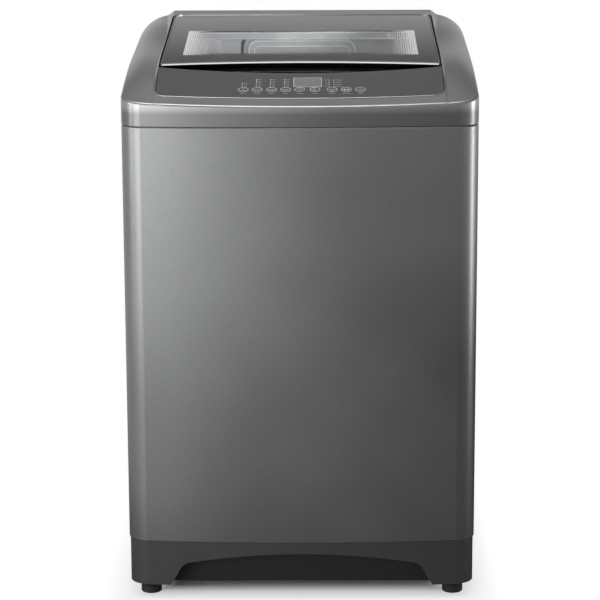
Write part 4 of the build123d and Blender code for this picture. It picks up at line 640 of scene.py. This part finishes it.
def panel_prints():
    """Lamp lenses behind the keys, short printed marks beside them and a frame round the display."""
    lenses, marks, bright = Sheet(), Sheet(), Sheet()
    for x_key, count in zip(KEY_X[:4], LAMP_COUNTS):
        for row in LAMP_ROWS[:count]:
            lenses.disc(x_key + LAMP_SHIFT, row, LAMP_R)
            marks.line([(x_key + end, row) for end in MARK_SPAN], MARK_STROKE)
    for x_column, reach in COLUMNS:
        for i, row in enumerate(COLUMN_ROWS):
            lenses.disc(x_column, row, LAMP_R)
            start = math.copysign(COLUMN_MARK_START, reach)
            end = reach * (1.0 - COLUMN_MARK_STEP * (i % 3))
            marks.line([(x_column + start, row), (x_column + end, row)], MARK_STROKE)
    for x_key, half in zip(KEY_X, CAPTION_HALVES):
        marks.line([(x_key - half, CAPTION_RUN), (x_key + half, CAPTION_RUN)], CAPTION_STROKE)
    x0, x1, r0, r1 = DISPLAY
    bright.line([(x0, r0), (x1, r0), (x1, r1), (x0, r1), (x0, r0)], DISPLAY_STROKE)

    def place(x, run):
        return on_panel(x, run, PRINT_LIFT)

    lenses.piece("panel_lamps", place, LENS, "cabinet", "fascia_dark")
    marks.piece("panel_marks", place, INK_SOFT, "cabinet", "fascia_dark")
    bright.piece("display_frame", place, INK, "cabinet", "fascia_dark")


key_prints()
panel_prints()


# Moulded beads on the drawer's front, pale as a painted highlight, in metres, and the bright line round the
# key panel, a painted highlight, in millimetres

BEAD_SIDES = 6
BEAD_RISE = 0.8

# Each bead of the drawer: its inset, its radius and the radius of its corners
DRAWER_BEADS = ((0.0045, 0.0016, 0.019), (0.0155, 0.0013, 0.012))
DRAWER_BEAD_FOOT = 0.020
ARCH_STEPS = 12

PANEL_HALF, PANEL_CORNER_R = 271.0, 20.0
PANEL_FRONT_RUN, PANEL_BOW = 30.0, 12.0
EDGE_LINE_R, EDGE_LINE_SINK = 1.0, 0.2
EDGE_STEP = 10.0
CORNER_ANGLES = tuple(math.radians(-5 - 16 * i) for i in range(6))


def bead(points, radius):
    """Vertices and faces of a half round bead along a path of (x, z) points, which stands out towards -y."""
    vertices, faces = [], []
    for i, (x, z) in enumerate(points):
        (xa, za), (xb, zb) = points[max(i - 1, 0)], points[min(i + 1, len(points) - 1)]
        length = math.hypot(xb - xa, zb - za)
        nx, nz = (za - zb) / length, (xb - xa) / length
        for k in range(BEAD_SIDES + 1):
            t = math.pi * k / BEAD_SIDES
            out = radius * math.cos(t)
            vertices.append((x + nx * out, -radius * BEAD_RISE * math.sin(t), z + nz * out))
    ring = BEAD_SIDES + 1
    for i in range(len(points) - 1):
        for k in range(BEAD_SIDES):
            a = i * ring + k
            faces.append((a, a + 1, a + 1 + ring, a + ring))
    return vertices, faces


def arch(half, low, high, radius):
    """An arch with round corners, open below: up the left side, across and down the right side."""
    points = [(-half, low)]
    for centre, start in ((-half + radius, 180), (half - radius, 90)):
        for i in range(ARCH_STEPS + 1):
            t = math.radians(start - 90 * i / ARCH_STEPS)
            points.append((centre + radius * math.cos(t), high - radius + radius * math.sin(t)))
    return points + [(half, low)]


def drawer_beads():
    """Two raised lines round the drawer's front, pale as a painted highlight of its outline."""
    low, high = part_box("detergent_drawer")
    vertices, faces = [], []
    for inset, radius, corner in DRAWER_BEADS:
        path = arch(high[0] - inset, low[2] + DRAWER_BEAD_FOOT, high[2] - inset, corner)
        points, quads = bead(path, radius)
        start = len(vertices)
        vertices += [(x, low[1] + y, z) for x, y, z in points]
        faces += [tuple(start + i for i in quad) for quad in quads]
    obj = mesh_object("drawer_beads", vertices, faces, MATERIALS["bead"])
    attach(obj, "drawer")


def panel_edge():
    """A thin bright line round the front of the key panel, from one corner to the other: a trim bead whose
    brightness is a painted highlight of the rim.
    """
    straight = PANEL_HALF - PANEL_CORNER_R

    def front_run(x):
        return PANEL_FRONT_RUN + PANEL_BOW * (x / PANEL_HALF) ** 2

    radius, centre = PANEL_CORNER_R, front_run(straight) + PANEL_CORNER_R
    corner = [(straight + radius * math.cos(a), centre + radius * math.sin(a)) for a in CORNER_ANGLES]
    across = [straight - EDGE_STEP * i for i in range(int(2 * straight / EDGE_STEP) + 1)]
    front = [(x, front_run(x)) for x in across]
    path = corner + front + [(-x, run) for x, run in reversed(corner)]
    points, faces = bead(path[::-1], EDGE_LINE_R)
    vertices = [on_panel(x, run, -out - EDGE_LINE_SINK) for x, out, run in points]
    obj = mesh_object("panel_edge", vertices, faces, MATERIALS["edge"])
    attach(obj, "cabinet")


drawer_beads()
panel_edge()


# Perforated drum, in metres

DRUM_R, DRUM_WALL = 0.2554, 0.0012
DRUM_COLUMNS, DRUM_ROWS = 72, 20
DRUM_MARGIN = 0.02
HOLES_BOTTOM, HOLES_TOP = 0.350, 0.750
HOLE_R = 0.0032
LEVEL_SLACK = 1e-6
SWELL_LEVELS = (0.412, 0.716)
SWELL_RISE, SWELL_SPREAD = 0.0016, 0.004


def drum():
    """The basket's wall with rows of drain holes and two pressed beads, as one sheet with a thickness."""
    low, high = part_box("wash_basket")
    mesh = bmesh.new()

    def vertex(angle, z):
        swell = sum(SWELL_RISE * math.exp(-(((z - level) / SWELL_SPREAD) ** 2)) for level in SWELL_LEVELS)
        reach = DRUM_R + swell
        return mesh.verts.new((reach * math.cos(angle), reach * math.sin(angle), z))

    pitch = (HOLES_TOP - HOLES_BOTTOM) / DRUM_ROWS
    levels = [low[2], low[2] + DRUM_MARGIN, HOLES_BOTTOM]
    levels += [HOLES_BOTTOM + pitch * (i + 1) for i in range(DRUM_ROWS)]
    levels += [HOLES_TOP + DRUM_MARGIN, high[2]]
    step = 2 * math.pi / DRUM_COLUMNS
    grid = [[vertex(step * c, z) for c in range(DRUM_COLUMNS)] for z in levels]
    for i in range(len(levels) - 1):
        z0, z1 = levels[i], levels[i + 1]
        for c in range(DRUM_COLUMNS):
            after = (c + 1) % DRUM_COLUMNS
            corners = [grid[i][c], grid[i][after], grid[i + 1][after], grid[i + 1][c]]
            in_rows = HOLES_BOTTOM - LEVEL_SLACK <= z0 and z1 <= HOLES_TOP + LEVEL_SLACK
            if not in_rows or (i + c) % 2:
                mesh.faces.new(corners)
                continue
            a, z = step * (c + 0.5), (z0 + z1) / 2
            around = []
            for k in range(8):
                t = math.radians(-135 + 45 * k)
                around.append(vertex(a + HOLE_R * math.cos(t) / DRUM_R, z + HOLE_R * math.sin(t)))
            for k in range(4):
                first, middle, last = around[2 * k], around[(2 * k + 1) % 8], around[(2 * k + 2) % 8]
                mesh.faces.new((corners[k], corners[(k + 1) % 4], last, middle, first))
    data = bpy.data.meshes.new("basket_drum")
    mesh.to_mesh(data)
    mesh.free()
    for face in data.polygons:
        face.use_smooth = True
    data.materials.append(MATERIALS["basket"])
    obj = add("basket_drum", data)
    wall = obj.modifiers.new("wall", "SOLIDIFY")
    wall.thickness = DRUM_WALL
    wall.offset = 0.0
    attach(obj, "basket")
    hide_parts("wash_basket")


drum()


# Coil springs of the tub's suspension, in metres

SPRING_R, WIRE_R = 0.018, 0.0022
SPRING_TURNS, FLAT_TURNS = 10, 0.6
TURN_STEPS, WIRE_SIDES = 20, 8
SPRING_CORNERS = ((-1, -1), (1, -1), (1, 1), (-1, 1))


def spring_coils():
    """Four coil springs with flat ends, between the rods and the tub's cups."""
    low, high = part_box("suspension_springs")
    rise = high[2] - low[2] - 2 * WIRE_R
    count = SPRING_TURNS * TURN_STEPS
    vertices, faces = [], []
    for sx, sy in SPRING_CORNERS:
        x_mid, y_mid = sx * (high[0] - SPRING_R), sy * (high[1] - SPRING_R)
        start = len(vertices)
        for i in range(count + 1):
            angle = 2 * math.pi * i / TURN_STEPS
            climb = (i / TURN_STEPS - FLAT_TURNS) / (SPRING_TURNS - 2 * FLAT_TURNS)
            climb = min(max(climb, 0.0), 1.0)
            for k in range(WIRE_SIDES):
                t = 2 * math.pi * k / WIRE_SIDES
                reach = SPRING_R - WIRE_R + WIRE_R * math.cos(t)
                z = low[2] + WIRE_R + rise * climb + WIRE_R * math.sin(t)
                vertices.append((x_mid + reach * math.cos(angle), y_mid + reach * math.sin(angle), z))
        for i in range(count):
            for k in range(WIRE_SIDES):
                a = start + i * WIRE_SIDES + k
                b = start + i * WIRE_SIDES + (k + 1) % WIRE_SIDES
                faces.append((a, a + WIRE_SIDES, b + WIRE_SIDES, b))
        last = start + count * WIRE_SIDES
        faces.append(tuple(range(start, start + WIRE_SIDES)))
        faces.append(tuple(reversed(range(last, last + WIRE_SIDES))))
    obj = mesh_object("spring_coils", vertices, faces, MATERIALS["steel"])
    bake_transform(obj)
    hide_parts("suspension_springs")


spring_coils()


# Floor and light

FLOOR_HALF = 30.0
MACHINE_HALF_X, MACHINE_HALF_Y = 0.335, 0.345

# Distances from the machine's outline over which the floor turns to white
SHADOW_FADE, UNDER_FADE = (-0.14, 0.05), (-0.09, -0.05)

# The floor's tone in reflections: near the machine, at its right, and where the tones change
FLOOR_NEAR, FLOOR_RIGHT = 0.14, 0.06
MIRROR_FRONT, MIRROR_ACROSS = (-3.4, -0.5), (-0.75, 0.75)
MIRROR_FAR_RIGHT, MIRROR_FAR_LEFT = (1.6, 4.5), (-0.4, -1.5)
MIRROR_LEFT_LEVEL = 0.8

# The studio in reflections: grey by height, and the right wall's share of the left one's
AMBIENT, RIGHT_WALL = 0.20, 0.75
WALLS = ((0.296, 1.0), (0.322, 0.10), (0.60, 0.30), (0.95, 0.80))
WALL_TURN = (-0.7, 0.7)

# Name, place, target, size, power in watts and spread in degrees
LAMPS = (
    ("key", (-1.9, -3.1, 0.90), (0, -0.3, 0.55), (1.8, 1.7), 52.0, 180.0),
    ("top", (-0.2, -0.6, 3.1), (0, 0.1, 1.0), (1.4, 1.2), 32.0, 180.0),
    ("well_left", (-1.3, -3.3, 1.42), (0.14, 0.2, 1.065), (0.3, 0.08), 0.155, 4.5),
    ("well_right", (1.3, -3.3, 1.42), (-0.14, 0.2, 1.065), (0.3, 0.08), 0.155, 4.5),
    ("left_strip", (-2.4, -1.3, 1.2), (0, -0.2, 0.8), (0.35, 1.6), 16.0, 180.0),
    ("right_strip", (2.4, -0.2, 0.60), (0.2, -0.25, 0.8), (0.5, 0.8), 13.0, 180.0),
)


def floor_material():
    """Pale floor that turns to white away from the machine, and shows in gloss with tones of its own."""
    mat = Material("pale_floor", Roughness=0.6)
    mat.tone((0.90, 0.90, 0.90), 0.01, mat.noise(2.0))
    x, y, _ = mat.axes(mat.position())
    beside = mat.maths("SUBTRACT", mat.maths("ABSOLUTE", x), MACHINE_HALF_X)
    before = mat.maths("SUBTRACT", mat.maths("ABSOLUTE", y), MACHINE_HALF_Y)
    clear = mat.maths("MAXIMUM", beside, before)
    far = mat.span(clear, 0.0, 1.0, *SHADOW_FADE)
    far = mat.maths("MULTIPLY", far, mat.span(clear, 0.0, 1.0, *UNDER_FADE))
    rays = mat.new("ShaderNodeLightPath")
    mirrored = rays.outputs["Is Glossy Ray"]
    seen = mat.maths("MAXIMUM", rays.outputs["Is Camera Ray"], mirrored)
    seen = mat.maths("MAXIMUM", seen, rays.outputs["Is Transmission Ray"])
    far_right = mat.span(x, 0.0, 1.0, *MIRROR_FAR_RIGHT)
    far_left = mat.span(x, 0.0, MIRROR_LEFT_LEVEL, *MIRROR_FAR_LEFT)
    ahead = mat.maths("MAXIMUM", mat.span(y, 1.0, FLOOR_NEAR, *MIRROR_FRONT), far_right)
    ahead = mat.maths("MAXIMUM", ahead, far_left)
    across = mat.maths("MAXIMUM", mat.span(x, 1.0, FLOOR_RIGHT, *MIRROR_ACROSS), far_right)
    dimmed = mat.maths("SUBTRACT", 1.0, mat.maths("MULTIPLY", ahead, across))
    level = mat.maths("SUBTRACT", 1.0, mat.maths("MULTIPLY", dimmed, mirrored))
    white = mat.new("ShaderNodeEmission")
    mat.link(level, white.inputs["Strength"])
    mix = mat.new("ShaderNodeMixShader")
    mat.link(mat.maths("MAXIMUM", mat.maths("MULTIPLY", far, seen), mirrored), mix.inputs["Fac"])
    mat.link(mat.shader.outputs[0], mix.inputs[1])
    mat.link(white.outputs[0], mix.inputs[2])
    mat.link(mix.outputs[0], mat.tree.nodes["Material Output"].inputs["Surface"])
    return mat.material


def floor():
    """A plain pale floor."""
    half = FLOOR_HALF
    corners = [(-half, -half, 0), (half, -half, 0), (half, half, 0), (-half, half, 0)]
    obj = mesh_object("floor", corners, [(0, 1, 2, 3)], floor_material(), smooth=False)


def lamp(name, place, target, size, power, spread):
    """A soft rectangular lamp aimed at a point, its beam as wide as spread in degrees."""
    data = bpy.data.lights.new(name, "AREA")
    data.shape = "RECTANGLE"
    data.size, data.size_y = size
    data.energy = power
    data.spread = math.radians(spread)
    aim = Vector(target) - Vector(place)
    turn = aim.to_track_quat("-Z", "Y").to_matrix().to_4x4()
    add(name, data).matrix_world = Matrix.Translation(place) @ turn


def world():
    """White behind the machine, soft grey light all round, and walls and a ceiling that only gloss shows."""
    data = bpy.data.worlds.new("studio")
    data.use_nodes = True
    SCENE.world = data
    studio = Nodes(data.node_tree)
    back = studio.tree.nodes["Background"]
    back.inputs["Color"].default_value = (1, 1, 1, 1)
    rays = studio.new("ShaderNodeLightPath")
    coords = studio.new("ShaderNodeTexCoord")
    x, _, z = studio.axes(coords.outputs["Generated"])
    height = studio.ramp(z, [(place, (grey, grey, grey)) for place, grey in WALLS])
    across = studio.span(x, 1.0, RIGHT_WALL, *WALL_TURN, kind="SMOOTHSTEP")
    shown = studio.maths("MULTIPLY", height, across)
    mirrored = studio.maths("MAXIMUM", rays.outputs["Is Glossy Ray"], rays.outputs["Is Transmission Ray"])
    level = studio.maths("MULTIPLY", shown, mirrored)
    level = studio.maths("MAXIMUM", level, AMBIENT)
    level = studio.maths("MAXIMUM", level, rays.outputs["Is Camera Ray"])
    studio.link(level, back.inputs["Strength"])


floor()
world()
for lamp_settings in LAMPS:
    lamp(*lamp_settings)
